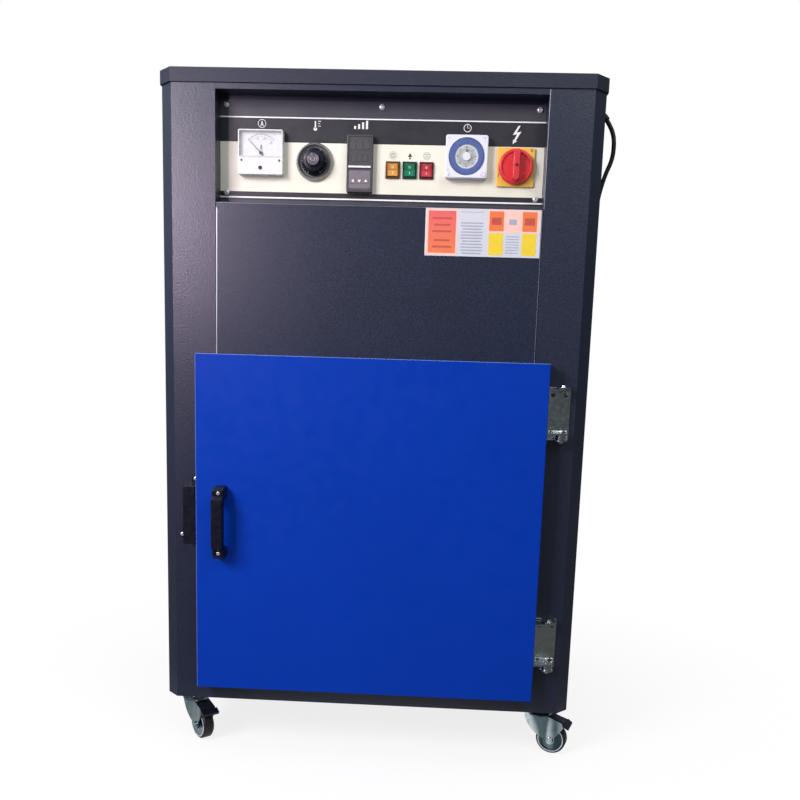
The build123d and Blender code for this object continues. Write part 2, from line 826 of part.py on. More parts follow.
with BuildPart() as main_switch_knob:
    knob_low_y = switch_plate_y - 0.3
    with BuildSketch(facing(knob_low_y)):
        with Locations((switch_x, switch_z)):
            Circle(switch_knob_diameter / 2)
    extrude(amount=switch_knob_base)
    fillet(main_switch_knob.faces().sort_by(Axis.Y)[0].edges(), radius=3)
    dish_radius = switch_knob_diameter / 2 - 5
    with BuildSketch(facing(knob_low_y - switch_knob_base)):
        with Locations((switch_x, switch_z)):
            Circle(dish_radius)
    extrude(amount=-3, mode=Mode.SUBTRACT, taper=20)
    # The grip bar across the dish narrows towards its top
    with BuildSketch(facing(knob_low_y - switch_knob_base + 3)):
        with Locations((switch_x, switch_z)):
            SlotOverall(2 * dish_radius + 3, switch_grip_width, rotation=90)
    extrude(amount=switch_grip_height + 3 - switch_knob_base / 2, taper=7)
    fillet(main_switch_knob.faces().sort_by(Axis.Y)[0].edges(), radius=1.5)
    with BuildSketch(facing(knob_low_y - switch_knob_base - switch_grip_height)):
        with Locations((switch_x, switch_z)):
            Circle(2.2)
    extrude(amount=-14, mode=Mode.SUBTRACT)
    with BuildSketch(facing(knob_low_y)):
        with Locations((switch_x, switch_z)):
            Circle(4)
    extrude(amount=-(fascia_back_y - knob_low_y + 8))
pieces["main_switch_knob"] = main_switch_knob

# Chamber: a liner open at the front, air panels, ceiling, runners and trays
spigot_z = base_z + spigot_height
motor_y = (liner_front_y + liner_back_y) / 2
with BuildPart() as chamber_liner:
    with BuildSketch(facing(liner_back_y + liner_wall)):
        with Locations((0, (liner_low_z + liner_high_z) / 2)):
            Rectangle(chamber_width + 2 * liner_wall, liner_high_z - liner_low_z + 2 * liner_wall)
    extrude(amount=chamber_depth + liner_wall)
    with BuildSketch(facing(liner_back_y)):
        with Locations((0, (liner_low_z + liner_high_z) / 2)):
            Rectangle(chamber_width, liner_high_z - liner_low_z)
    extrude(amount=chamber_depth, mode=Mode.SUBTRACT)
    with BuildSketch(level(liner_high_z - 1)):
        with Locations((0, motor_y)):
            Circle(shaft_diameter / 2 + 2)
    extrude(amount=liner_wall + 2, mode=Mode.SUBTRACT)
    with BuildSketch(facing(liner_back_y + liner_wall + 1)):
        with Locations((spigot_x, spigot_z)):
            Circle(back_hole)
    extrude(amount=liner_wall + 2, mode=Mode.SUBTRACT)
pieces["chamber_liner"] = chamber_liner

motor_flange_diameter = motor_diameter + 22
with BuildPart() as chamber_insulation:
    block_front_y = front_y + sheet + cover_fold + 1.0
    block_back_y = liner_back_y + liner_wall + insulation_thickness
    outer_width = chamber_width + 2 * (liner_wall + insulation_thickness)
    outer_height = liner_high_z - liner_low_z + 2 * (liner_wall + insulation_thickness)
    with BuildSketch(facing(block_back_y)):
        with Locations((0, (liner_low_z + liner_high_z) / 2)):
            Rectangle(outer_width, outer_height)
    extrude(amount=block_back_y - block_front_y)
    with BuildSketch(facing(liner_back_y + liner_wall)):
        with Locations((0, (liner_low_z + liner_high_z) / 2)):
            Rectangle(chamber_width + 2 * liner_wall, liner_high_z - liner_low_z + 2 * liner_wall)
    extrude(amount=chamber_depth + insulation_thickness, mode=Mode.SUBTRACT)
    with BuildSketch(level(liner_high_z)):
        with Locations((0, motor_y)):
            Circle(motor_flange_diameter / 2 + 1)
    extrude(amount=insulation_thickness + 10, mode=Mode.SUBTRACT)
    with BuildSketch(facing(back_y)):
        with Locations((spigot_x, spigot_z)):
            Circle(back_hole)
    extrude(amount=body_depth / 4, mode=Mode.SUBTRACT)
pieces["chamber_insulation"] = chamber_insulation

air_panel_length = chamber_depth - 40
slot_bridge = 24.0
air_slot_count = 6
air_slot_pitch = (air_panel_length - 1.5 * slot_bridge) / air_slot_count
ceiling_slot_count = 4
ceiling_slot_pitch = (air_panel_length - 1.5 * slot_bridge) / ceiling_slot_count
with BuildPart() as air_panels:
    for side in (-1, 1):
        with BuildSketch(sideways(side * air_panel_x - air_panel_wall / 2)):
            with Locations((motor_y, (liner_low_z + ceiling_z) / 2)):
                Rectangle(air_panel_length, ceiling_z - liner_low_z)
                # Air slots in rows between the runners
                with GridLocations(air_slot_pitch, tray_pitch, air_slot_count, tray_count):
                    Rectangle(air_slot_pitch - slot_bridge, 8, mode=Mode.SUBTRACT)
        extrude(amount=air_panel_wall)
        # The front return closes the duct towards the door.
        with BuildSketch(facing(motor_y - air_panel_length / 2 + air_panel_wall)):
            with Locations((side * (air_panel_x + duct_width / 2), (liner_low_z + ceiling_z) / 2)):
                Rectangle(duct_width - 0.6, ceiling_z - liner_low_z)
        extrude(amount=air_panel_wall)
pieces["air_panels"] = air_panels

duct_slot = duct_width - 8
with BuildPart() as ceiling_panel:
    with BuildSketch(level(ceiling_z)):
        with Locations((0, motor_y)):
            Rectangle(chamber_width - 0.6, air_panel_length)
            Circle(inlet_diameter / 2, mode=Mode.SUBTRACT)
            # Air goes down to both ducts through long slots.
            with GridLocations(chamber_width - duct_width, ceiling_slot_pitch, 2, ceiling_slot_count):
                Rectangle(duct_slot, ceiling_slot_pitch - slot_bridge, mode=Mode.SUBTRACT)
    extrude(amount=liner_wall)
    # Inlet guard: rings on four spokes
    guard_wall = 3.0
    with BuildSketch(level(ceiling_z)):
        with Locations((0, motor_y)):
            for ring in (20, 38, 56):
                Circle(ring)
                Circle(ring - guard_wall, mode=Mode.SUBTRACT)
            with PolarLocations(0, 4):
                Rectangle(inlet_diameter + 8, guard_wall)
    extrude(amount=liner_wall)
    # The front fold closes the fan space towards the door.
    with BuildSketch(facing(motor_y - air_panel_length / 2 + liner_wall)):
        with Locations((0, (ceiling_z + liner_high_z) / 2)):
            Rectangle(chamber_width - 0.6, liner_high_z - ceiling_z - 0.6)
    extrude(amount=liner_wall)
    # Inlet mouth, drawn up towards the fan
    with BuildSketch(level(ceiling_z + liner_wall)):
        with Locations((0, motor_y)):
            Circle(inlet_diameter / 2 + 1.5)
            Circle(inlet_diameter / 2, mode=Mode.SUBTRACT)
    extrude(amount=8)
pieces["ceiling_panel"] = ceiling_panel

runner_x = air_panel_x - air_panel_wall / 2
runner_length = tray_length + 14
tray_front_y = liner_front_y + tray_front_gap
tray_mid_y = tray_front_y + tray_length / 2


def runner_heights():
    """The lower face of each runner's leg, from the chamber's bottom upwards."""
    return [base_z + first_runner + i * tray_pitch for i in range(tray_count)]


with BuildPart() as tray_runners:
    for runner_z in runner_heights():
        with BuildSketch(facing(tray_mid_y + runner_length / 2)):
            for side in (-1, 1):
                with Locations((side * (runner_x - runner_leg / 2), runner_z + runner_wall / 2)):
                    Rectangle(runner_leg, runner_wall)
                with Locations((side * (runner_x - runner_wall / 2), runner_z - 5)):
                    Rectangle(runner_wall, 10)
        extrude(amount=runner_length)
pieces["tray_runners"] = tray_runners

tray_side_gap = 3.0
tray_rim_half = runner_x - tray_side_gap
tray_half_width = runner_x - runner_leg - tray_side_gap
with BuildPart() as drying_trays:
    for runner_z in runner_heights():
        tray_low_z = runner_z + runner_wall + tray_wall - tray_depth
        with BuildSketch(level(tray_low_z)):
            with Locations((0, tray_mid_y)):
                RectangleRounded(2 * tray_half_width, tray_length, 12)
        extrude(amount=tray_depth)
        with BuildSketch(level(tray_low_z + tray_depth - tray_wall)):
            with Locations((0, tray_mid_y)):
                RectangleRounded(2 * tray_rim_half, tray_length + 10, 14)
        extrude(amount=tray_wall)
        with BuildSketch(level(tray_low_z + tray_wall)):
            with Locations((0, tray_mid_y)):
                RectangleRounded(2 * (tray_half_width - tray_wall), tray_length - 2 * tray_wall, 11)
        extrude(amount=tray_depth, mode=Mode.SUBTRACT)
        with BuildSketch(level(tray_low_z)):
            with Locations((0, tray_mid_y)):
                with GridLocations(130, 60, 3, 6):
                    Rectangle(90, 8)
        extrude(amount=tray_wall, mode=Mode.SUBTRACT)
pieces["drying_trays"] = drying_trays

# Fan: backward-curved blades between a back plate and a shroud ring
impeller_low_z = ceiling_z + liner_wall + 12
impeller_top_z = impeller_low_z + impeller_height
fan_radius = impeller_diameter / 2
fan_inner = inlet_diameter / 2 - 4
fan_plate = 2.0
with BuildPart() as blower_impeller:
    with BuildSketch(level(impeller_top_z - fan_plate)):
        with Locations((0, motor_y)):
            Circle(fan_radius)
    extrude(amount=fan_plate)
    with BuildSketch(level(impeller_low_z)):
        with Locations((0, motor_y)):
            Circle(fan_radius)
            Circle(fan_inner, mode=Mode.SUBTRACT)
    extrude(amount=fan_plate)
    # One blade is an arc between inner and outer rim, leaning back by a fixed angle.
    blade_lean = radians(34)
    outer_end = (fan_radius - 1, 0)
    inner_end = ((fan_inner + 1) * cos(blade_lean), (fan_inner + 1) * sin(blade_lean))
    blade_mid_radius = (fan_radius + fan_inner) / 2
    blade_mid = (blade_mid_radius * cos(blade_lean * 0.38), blade_mid_radius * sin(blade_lean * 0.38))
    with BuildSketch(level(impeller_low_z + fan_plate / 2)):
        with Locations((0, motor_y)):
            with PolarLocations(0, blade_count):
                with BuildLine(mode=Mode.PRIVATE) as blade_line:
                    ThreePointArc(inner_end, blade_mid, outer_end)
                trace(blade_line.line, line_width=blade_wall)
    extrude(amount=impeller_height - fan_plate)
    hub_height = impeller_height - 8
    with BuildSketch(level(impeller_top_z - hub_height)):
        with Locations((0, motor_y)):
            Circle(18)
    extrude(amount=hub_height)
    shaft_top_z = liner_high_z + liner_wall + 22
    with BuildSketch(level(impeller_top_z - fan_plate)):
        with Locations((0, motor_y)):
            Circle(shaft_diameter / 2)
    extrude(amount=shaft_top_z - impeller_top_z + fan_plate)
pieces["blower_impeller"] = blower_impeller

motor_low_z = liner_high_z + liner_wall
motor_flange = 6.0
with BuildPart() as blower_motor:
    with BuildSketch(level(motor_low_z)):
        with Locations((0, motor_y)):
            Circle(motor_flange_diameter / 2)
            with PolarLocations(motor_flange_diameter / 2 - 6, 4, start_angle=45):
                Circle(3.2, mode=Mode.SUBTRACT)
    extrude(amount=motor_flange)
    with BuildSketch(level(motor_low_z + motor_flange)):
        with Locations((0, motor_y)):
            Circle(motor_diameter / 2 - 6)
            with PolarLocations(motor_diameter / 2 - 6, motor_fins):
                Rectangle(12, 3)
    extrude(amount=motor_height)
    with BuildSketch(level(motor_low_z + motor_flange + motor_height)):
        with Locations((0, motor_y)):
            Circle(motor_diameter / 2)
    extrude(amount=22, taper=8)
    with BuildSketch(level(motor_low_z)):
        with Locations((0, motor_y)):
            Circle(shaft_diameter / 2 + running_fit)
    extrude(amount=shaft_top_z - motor_low_z + 1, mode=Mode.SUBTRACT)
pieces["blower_motor"] = blower_motor

# Heater: hairpin rods held by a flange plate on the chamber's rear wall
heater_pitch = 30.0
heater_mid_x = (fan_radius + chamber_width / 2) / 2
heater_first_x = heater_mid_x - heater_pitch * (heater_count - 1) / 2
hairpin_width = 40.0
heater_plate = 4.0
heater_z = (ceiling_z + liner_high_z) / 2
with BuildPart() as heater_bank:
    with BuildSketch(facing(liner_back_y)):
        with Locations((heater_mid_x, heater_z)):
            RectangleRounded(heater_pitch * heater_count, hairpin_width + 22, 4)
    extrude(amount=heater_plate)
    for i in range(heater_count):
        rod_plane = sideways(heater_first_x + i * heater_pitch)
        rod_start_y = liner_back_y - heater_plate
        bend = hairpin_width / 2
        with BuildLine(rod_plane) as hairpin:
            Line((rod_start_y, heater_z + bend), (rod_start_y - heater_reach, heater_z + bend))
            ThreePointArc(
                (rod_start_y - heater_reach, heater_z + bend),
                (rod_start_y - heater_reach - bend, heater_z),
                (rod_start_y - heater_reach, heater_z - bend),
            )
            Line((rod_start_y - heater_reach, heater_z - bend), (rod_start_y, heater_z - bend))
        with BuildSketch(facing(rod_start_y)):
            with Locations((heater_first_x + i * heater_pitch, heater_z + bend)):
                Circle(heater_rod / 2)
        sweep(path=hairpin.line)
pieces["heater_bank"] = heater_bank

# Exhaust spigot with a butterfly damper, at rest open
spigot_end_y = back_y + spigot_length
spigot_inner = spigot_diameter / 2 - spigot_wall
damper_radius = spigot_inner - 1.2
damper_offset = 10.0
back_face_y = back_y - sheet
damper_y = back_face_y + damper_offset
with BuildPart() as exhaust_spigot:
    with BuildSketch(facing(spigot_end_y)):
        with Locations((spigot_x, spigot_z)):
            Circle(spigot_diameter / 2)
    extrude(amount=spigot_end_y - liner_back_y)
    with BuildSketch(facing(back_face_y + 2)):
        with Locations((spigot_x, spigot_z)):
            Circle(spigot_diameter / 2 + spigot_flange)
    extrude(amount=2)
    with BuildSketch(facing(back_face_y + 2)):
        with Locations((spigot_x, spigot_z)):
            with PolarLocations(spigot_diameter / 2 + spigot_flange * 0.6, 4, start_angle=45):
                Circle(2.2)
    extrude(amount=2, mode=Mode.SUBTRACT)
    with BuildSketch(facing(spigot_end_y)):
        with Locations((spigot_x, spigot_z)):
            Circle(spigot_inner)
    extrude(amount=spigot_end_y - liner_back_y, mode=Mode.SUBTRACT)
    with BuildSketch(sideways(spigot_x - spigot_diameter)):
        with Locations((damper_y, spigot_z)):
            Circle(damper_shaft / 2 + running_fit)
    extrude(amount=2 * spigot_diameter, mode=Mode.SUBTRACT)
    # A rolled bead stops the duct short of the damper's lever.
    spigot_radius = spigot_diameter / 2
    bead_low_y = spigot_end_y - duct_lap - bead_width
    bead_high_y = spigot_end_y - duct_lap
    with BuildSketch(Plane(origin=(spigot_x, 0, spigot_z))):
        with BuildLine():
            Polyline(
                (spigot_radius - spigot_wall / 2, bead_low_y),
                (spigot_radius, bead_low_y),
                (spigot_radius + bead_height, bead_low_y + bead_height),
                (spigot_radius + bead_height, bead_high_y - bead_height),
                (spigot_radius, bead_high_y),
                (spigot_radius - spigot_wall / 2, bead_high_y),
                close=True,
            )
        make_face()
    revolve(axis=Axis((spigot_x, 0, spigot_z), (0, 1, 0)))
pieces["exhaust_spigot"] = exhaust_spigot

lever_length = 26.0
with BuildPart() as exhaust_damper:
    with BuildSketch(level(spigot_z - 0.75)):
        with Locations((spigot_x, damper_y)):
            Circle(damper_radius)
    extrude(amount=1.5)
    shaft_left = spigot_x - spigot_diameter / 2 - 3
    shaft_right = spigot_x + spigot_diameter / 2 + 8
    with BuildSketch(sideways(shaft_left)):
        with Locations((damper_y, spigot_z)):
            Circle(damper_shaft / 2)
    extrude(amount=shaft_right - shaft_left)
    # Lever outside the tube, square to the plate, so it stands clear of a duct when open
    with BuildSketch(sideways(shaft_right)):
        with Locations((damper_y, spigot_z + lever_length / 2 - 5)):
            SlotOverall(lever_length, 9, rotation=90)
    extrude(amount=-3)
pieces["exhaust_damper"] = exhaust_damper

# Door: a folded blue shell, an insulating core, a pressed inner panel and a gasket
with BuildPart() as door_shell:
    with BuildSketch(facing(door_back_y)):
        with Locations((door_center_x, door_mid_z)):
            Rectangle(door_width, door_height)
    extrude(amount=door_thickness)
    fillet(door_shell.edges().filter_by(Axis.Z).group_by(Axis.Y)[0], radius=1.5)
    with BuildSketch(facing(door_back_y - door_sheet)):
        with Locations((door_center_x, door_mid_z)):
            Rectangle(door_width - 2 * door_sheet, door_height - 2 * door_sheet)
    extrude(amount=door_thickness - 2 * door_sheet, mode=Mode.SUBTRACT)
    with BuildSketch(facing(door_back_y)):
        with Locations((door_center_x, door_mid_z)):
            Rectangle(door_width - 2 * door_return, door_height - 2 * door_return)
    extrude(amount=door_sheet, mode=Mode.SUBTRACT)
pieces["door_shell"] = door_shell

panel_margin = 6.0
door_opening_width = door_width - 2 * door_return
door_opening_height = door_height - 2 * door_return
liner_seat_y = door_back_y - door_sheet
bulge_foot_width = min(door_opening_width, opening_width) - 2 * panel_margin - 12
bulge_foot_height = min(door_opening_height, opening_height) - 2 * panel_margin - 12
with BuildPart() as door_liner:
    with BuildSketch(facing(liner_seat_y)):
        with Locations((door_center_x, door_mid_z)):
            Rectangle(door_width - 4 * door_sheet, door_height - 4 * door_sheet)
    extrude(amount=liner_wall)
    # The pressed field stands into the chamber's mouth with sloped sides.
    with BuildSketch(facing(liner_seat_y)):
        with Locations((door_center_x, opening_mid_z)):
            RectangleRounded(bulge_foot_width, bulge_foot_height, 14)
    extrude(amount=-door_bulge, taper=25)
    with BuildSketch(facing(liner_seat_y - liner_wall)):
        with Locations((door_center_x, opening_mid_z)):
            RectangleRounded(bulge_foot_width - 2 * liner_wall, bulge_foot_height - 2 * liner_wall, 13)
    extrude(amount=-door_bulge, taper=25, mode=Mode.SUBTRACT)
pieces["door_liner"] = door_liner

with BuildPart() as door_insulation:
    with BuildSketch(facing(liner_seat_y - liner_wall - 0.3)):
        with Locations((door_center_x, door_mid_z)):
            Rectangle(door_width - 4 * door_sheet, door_height - 4 * door_sheet)
    extrude(amount=door_thickness - 2 * door_sheet - liner_wall - 0.6)
pieces["door_insulation"] = door_insulation

gasket_outer_height = opening_height + 2 * gasket_width + 16
with BuildPart() as door_gasket:
    with BuildSketch(facing(front_y - gasket_gap)):
        with Locations((door_center_x, opening_mid_z)):
            RectangleRounded(opening_width + 2 * gasket_width + 18, gasket_outer_height, 22)
            RectangleRounded(opening_width + 18, gasket_outer_height - 2 * gasket_width, 10, mode=Mode.SUBTRACT)
    extrude(amount=front_y - gasket_gap - liner_seat_y)
    fillet(door_gasket.faces().sort_by(Axis.Y)[-1].edges(), radius=1.6)
pieces["door_gasket"] = door_gasket

# Handle: two stepped feet and a rounded bar, drawn in side view
handle_low_z = base_z + handle_bottom
handle_top_z = handle_low_z + handle_length
foot_height = 20.0
foot_step = 9.0
foot_face_y = door_face_y - handle_height + foot_step
bar_face_y = door_face_y - handle_height
bar_back_y = bar_face_y + handle_bar
with BuildPart() as door_handle:
    with BuildSketch(sideways(handle_x - handle_width / 2)):
        with BuildLine():
            Polyline(
                (door_face_y, handle_low_z),
                (foot_face_y + 6, handle_low_z + 1),
                (foot_face_y, handle_low_z + 7),
                (foot_face_y, handle_low_z + foot_height - 4),
                (bar_face_y, handle_low_z + foot_height + 2),
                (bar_face_y, handle_top_z - foot_height - 2),
                (foot_face_y, handle_top_z - foot_height + 4),
                (foot_face_y, handle_top_z - 7),
                (foot_face_y + 6, handle_top_z - 1),
                (door_face_y, handle_top_z),
                (door_face_y, handle_top_z - foot_height),
                (bar_back_y, handle_top_z - foot_height - 8),
                (bar_back_y, handle_low_z + foot_height + 8),
                (door_face_y, handle_low_z + foot_height),
                close=True,
            )
        make_face()
    extrude(amount=handle_width)
    fillet(door_handle.edges().filter_by(Axis.X, reverse=True).filter_by(GeomType.LINE), radius=4)
    with Locations(
        Plane(origin=(handle_x, foot_face_y, handle_low_z + 11), z_dir=(0, -1, 0)),
        Plane(origin=(handle_x, foot_face_y, handle_top_z - 11), z_dir=(0, -1, 0)),
    ):
        CounterBoreHole(radius=2.5, counter_bore_radius=4.6, counter_bore_depth=5, depth=60)
pieces["door_handle"] = door_handle

# Catch: a magnet housing beside the door and a strike on the door's edge
catch_right_x = door_left_x - strike_thickness - catch_gap
catch_left_x = catch_right_x - catch_width
catch_mid_z = base_z + catch_bottom + catch_height / 2
strike_height = 50.0
with BuildPart() as catch_strike:
    with BuildSketch(sideways(door_left_x)):
        with Locations((door_back_y - door_thickness / 2, catch_mid_z)):
            RectangleRounded(26, strike_height, 3)
            with GridLocations(0, strike_height - 14, 1, 2):
                Circle(2, mode=Mode.SUBTRACT)
    extrude(amount=-strike_thickness)
pieces["catch_strike"] = catch_strike

with BuildPart() as catch_housing:
    with BuildSketch(facing(front_y)):
        with Locations(((catch_left_x + catch_right_x) / 2, catch_mid_z)):
            RectangleRounded(catch_width, catch_height, 2)
    extrude(amount=catch_depth)
    fillet(catch_housing.faces().sort_by(Axis.Y)[0].edges(), radius=1.5)
    # Mounting ears: one above the box, one at its left near the bottom
    with BuildSketch(facing(front_y)):
        with Locations((catch_right_x - 8, base_z + catch_bottom + catch_height + 3)):
            SlotOverall(24, 14, rotation=90)
        with Locations((catch_left_x - 3, base_z + catch_bottom + 12)):
            SlotOverall(24, 14)
    extrude(amount=2.5)
    # Magnet faces in the side that meets the strike
    with BuildSketch(sideways(catch_right_x)):
        with Locations((front_y - catch_depth / 2, catch_mid_z)):
            with GridLocations(0, 26, 1, 2):
                RectangleRounded(20, 18, 2)
    extrude(amount=-1.2, mode=Mode.SUBTRACT)
pieces["catch_housing"] = catch_housing

# Hinges: a plate with two ears on the post, an arm on the door and short headed pins
hinge_plate_left = door_right_x + 1.0
hinge_plate_mid_x = hinge_plate_left + hinge_plate_width / 2
hinge_hole_x = (hinge_pin_x - 14.5, hinge_pin_x + 8.0)
pin_shank = hinge_pin_diameter / 2
arm_web = 3.0
arm_front_y = door_face_y + 3
arm_back_y = door_back_y - 2


def ear_outline():
    """An ear seen from above: square at the post, round about the pin."""
    ear_left = hinge_pin_x - hinge_ear_radius
    ear_right = hinge_pin_x + hinge_ear_radius
    with BuildLine() as outline:
        Line((ear_left, front_y), (ear_left, hinge_pin_y))
        ThreePointArc(
            (ear_left, hinge_pin_y),
            (hinge_pin_x, hinge_pin_y - hinge_ear_radius),
            (ear_right, hinge_pin_y),
        )
        Line((ear_right, hinge_pin_y), (ear_right, front_y))
        Line((ear_right, front_y), (ear_left, front_y))
    return outline.edges()


with BuildPart() as hinge_bases:
    for height in hinge_heights:
        hinge_z = base_z + height
        with BuildSketch(facing(front_y)):
            with Locations((hinge_plate_mid_x, hinge_z)):
                RectangleRounded(hinge_plate_width, hinge_plate_height, 3)
            for hole_x in hinge_hole_x:
                with Locations((hole_x, hinge_z)):
                    with GridLocations(0, hinge_hole_spread, 1, 2):
                        Circle(2.6, mode=Mode.SUBTRACT)
        extrude(amount=hinge_plate_wall)
        for ear_z in (hinge_z - hinge_plate_height / 2, hinge_z + hinge_plate_height / 2 - hinge_plate_wall):
            with BuildSketch(level(ear_z)):
                make_face(ear_outline())
                with Locations((hinge_pin_x, hinge_pin_y)):
                    Circle(pin_shank + running_fit, mode=Mode.SUBTRACT)
            extrude(amount=hinge_plate_wall)
pieces["hinge_bases"] = hinge_bases

lug_gap = 0.5
with BuildPart() as hinge_arms:
    for height in hinge_heights:
        hinge_z = base_z + height
        inner_low_z = hinge_z - hinge_plate_height / 2 + hinge_plate_wall
        inner_high_z = hinge_z + hinge_plate_height / 2 - hinge_plate_wall
        lug_low_z = inner_low_z + hinge_bush_height
        lug_high_z = inner_high_z - lug_gap - hinge_lug_wall
        # Web against the door's edge
        with BuildSketch(sideways(door_right_x)):
            with Locations(((arm_front_y + arm_back_y) / 2, (lug_low_z + lug_high_z + hinge_lug_wall) / 2)):
                Rectangle(arm_back_y - arm_front_y, lug_high_z + hinge_lug_wall - lug_low_z)
                with GridLocations(0, hinge_hole_spread - 24, 1, 2):
                    Circle(2.3, mode=Mode.SUBTRACT)
        extrude(amount=arm_web)
        for lug_z in (lug_low_z, lug_high_z):
            with BuildSketch(level(lug_z)):
                with BuildLine():
                    lug_radius = hinge_ear_radius - 1.5
                    Line((door_right_x, arm_front_y), (hinge_pin_x, hinge_pin_y - lug_radius))
                    ThreePointArc(
                        (hinge_pin_x, hinge_pin_y - lug_radius),
                        (hinge_pin_x + lug_radius, hinge_pin_y),
                        (hinge_pin_x, hinge_pin_y + lug_radius),
                    )
                    Line((hinge_pin_x, hinge_pin_y + lug_radius), (door_right_x, arm_back_y))
                    Line((door_right_x, arm_back_y), (door_right_x, arm_front_y))
                make_face()
                with Locations((hinge_pin_x, hinge_pin_y)):
                    Circle(pin_shank + running_fit, mode=Mode.SUBTRACT)
            extrude(amount=hinge_lug_wall)
        # Bush that carries the door on the lower ear
        with BuildSketch(level(inner_low_z + lug_gap)):
            with Locations((hinge_pin_x, hinge_pin_y)):
                Circle(hinge_ear_radius - 3)
                Circle(pin_shank + running_fit, mode=Mode.SUBTRACT)
        extrude(amount=hinge_bush_height - lug_gap)
pieces["hinge_arms"] = hinge_arms

head_height = 4.0
with BuildPart() as hinge_pins:
    for height in hinge_heights:
        hinge_z = base_z + height
        low_end = hinge_z - hinge_plate_height / 2
        high_end = hinge_z + hinge_plate_height / 2
        low_reach = hinge_plate_wall + hinge_bush_height + hinge_lug_wall + 2
        high_reach = hinge_plate_wall + lug_gap + hinge_lug_wall + 2
        for seat_z, reach, way in ((low_end, low_reach, 1), (high_end, high_reach, -1)):
            with BuildSketch(level(seat_z)):
                with Locations((hinge_pin_x, hinge_pin_y)):
                    Circle(pin_shank)
            extrude(amount=way * reach)
            with BuildSketch(level(seat_z)):
                with Locations((hinge_pin_x, hinge_pin_y)):
                    Circle(hinge_head_diameter / 2)
            extrude(amount=-way * head_height, taper=14)
pieces["hinge_pins"] = hinge_pins

# Casters
front_caster_y = front_y + caster_inset
rear_caster_y = back_y - caster_inset
plate_low_z = base_z - caster_plate_wall
caster_bolt_pitch = caster_plate - 2 * caster_bolt_inset
race_radius = 20.0
kingpin_head_height = 3.0
race_low_z = fork_top + swivel_gap
fork_half_width = wheel_width / 2 + fork_side_gap + fork_wall
axle_z = wheel_radius
front_casters = {
    "left": (-caster_x, left_caster_angle),
    "right": (caster_x, right_caster_angle),
}

with BuildPart() as caster_plates:
    with BuildSketch(level(plate_low_z)):
        with Locations((-caster_x, front_caster_y), (caster_x, front_caster_y)):
            RectangleRounded(caster_plate, caster_plate, 6)
            with GridLocations(caster_bolt_pitch, caster_bolt_pitch, 2, 2):
                Circle(caster_bolt_hole / 2, mode=Mode.SUBTRACT)
    extrude(amount=caster_plate_wall)
    # Swivel race and kingpin below each plate
    with BuildSketch(level(plate_low_z)):
        with Locations((-caster_x, front_caster_y), (caster_x, front_caster_y)):
            Circle(race_radius)
    extrude(amount=race_low_z - plate_low_z, taper=6)
    with BuildSketch(level(race_low_z)):
        with Locations((-caster_x, front_caster_y), (caster_x, front_caster_y)):
            Circle(kingpin_diameter / 2)
    extrude(amount=-(race_low_z - fork_top + fork_wall + kingpin_head_height))
    # Kingpin head that holds the fork's crown
    with BuildSketch(level(fork_top - fork_wall - swivel_gap)):
        with Locations((-caster_x, front_caster_y), (caster_x, front_caster_y)):
            Circle(kingpin_head / 2)
    extrude(amount=-kingpin_head_height)
pieces["caster_plates"] = caster_plates


def trail_direction(angle):
    """Unit vector along a caster's trail."""
    return (cos(radians(angle)), sin(radians(angle)))


def caster_side_plane(x, y, angle, offset_along_axle):
    """Upright plane through a caster, local x along the trail, local y up, normal along the axle."""
    along, across = trail_direction(angle)
    normal = (across, -along, 0)
    origin = (x + normal[0] * offset_along_axle, y + normal[1] * offset_along_axle, 0)
    return Plane(origin=origin, x_dir=(along, across, 0), z_dir=normal)


def fork_side_outline():
    """A fork leg in side view: wide under the head, run out over the wheel, round about the axle."""
    with BuildLine() as outline:
        Polyline(
            (-fork_head_radius, fork_top),
            (12, fork_top),
            (wheel_trail + 22, fork_top - 12),
            (wheel_trail + 24, fork_top - 22),
            (wheel_trail + axle_eye, axle_z + 6),
            (wheel_trail + axle_eye, axle_z),
        )
        ThreePointArc(
            (wheel_trail + axle_eye, axle_z),
            (wheel_trail, axle_z - axle_eye),
            (wheel_trail - axle_eye, axle_z),
        )
        ThreePointArc(
            (wheel_trail - axle_eye, axle_z),
            (-fork_head_radius * 0.55, axle_z + 19),
            (-fork_head_radius, fork_top - 8),
        )
        Line((-fork_head_radius, fork_top - 8), (-fork_head_radius, fork_top))
    return outline.edges()


def swivel_fork(x, angle):
    """The turning part of a caster: crown plate, two legs and the axle."""
    y = front_caster_y
    along, across = trail_direction(angle)
    crown_plane = Plane(origin=(x, y, fork_top - fork_wall), x_dir=(along, across, 0), z_dir=(0, 0, 1))
    with BuildPart() as fork:
        for leg_offset in (-fork_half_width, fork_half_width - fork_wall):
            with BuildSketch(caster_side_plane(x, y, angle, leg_offset)):
                make_face(fork_side_outline())
            extrude(amount=fork_wall)
        with BuildSketch(crown_plane):
            Circle(fork_head_radius)
            with Locations((6, 0)):
                Rectangle(12, 2 * fork_half_width)
        extrude(amount=fork_wall)
        with BuildSketch(crown_plane):
            Circle(kingpin_diameter / 2 + running_fit)
        extrude(amount=2 * fork_wall, both=True, mode=Mode.SUBTRACT)
        # Axle with round heads outside the legs
        with BuildSketch(caster_side_plane(x, y, angle, -fork_half_width)):
            with Locations((wheel_trail, axle_z)):
                Circle(axle_diameter / 2)
        extrude(amount=2 * fork_half_width)
        for head_offset, way in ((fork_half_width, 1), (-fork_half_width, -1)):
            with BuildSketch(caster_side_plane(x, y, angle, head_offset)):
                with Locations((wheel_trail, axle_z)):
                    Circle(axle_diameter / 2 + 2.5)
            extrude(amount=way * 3, taper=20)
        # Pedal pin
        with BuildSketch(caster_side_plane(x, y, angle, -fork_half_width)):
            with Locations((pedal_pin_reach, pedal_pin_z)):
                Circle(pedal_pin_radius)
        extrude(amount=2 * fork_half_width)
    return fork


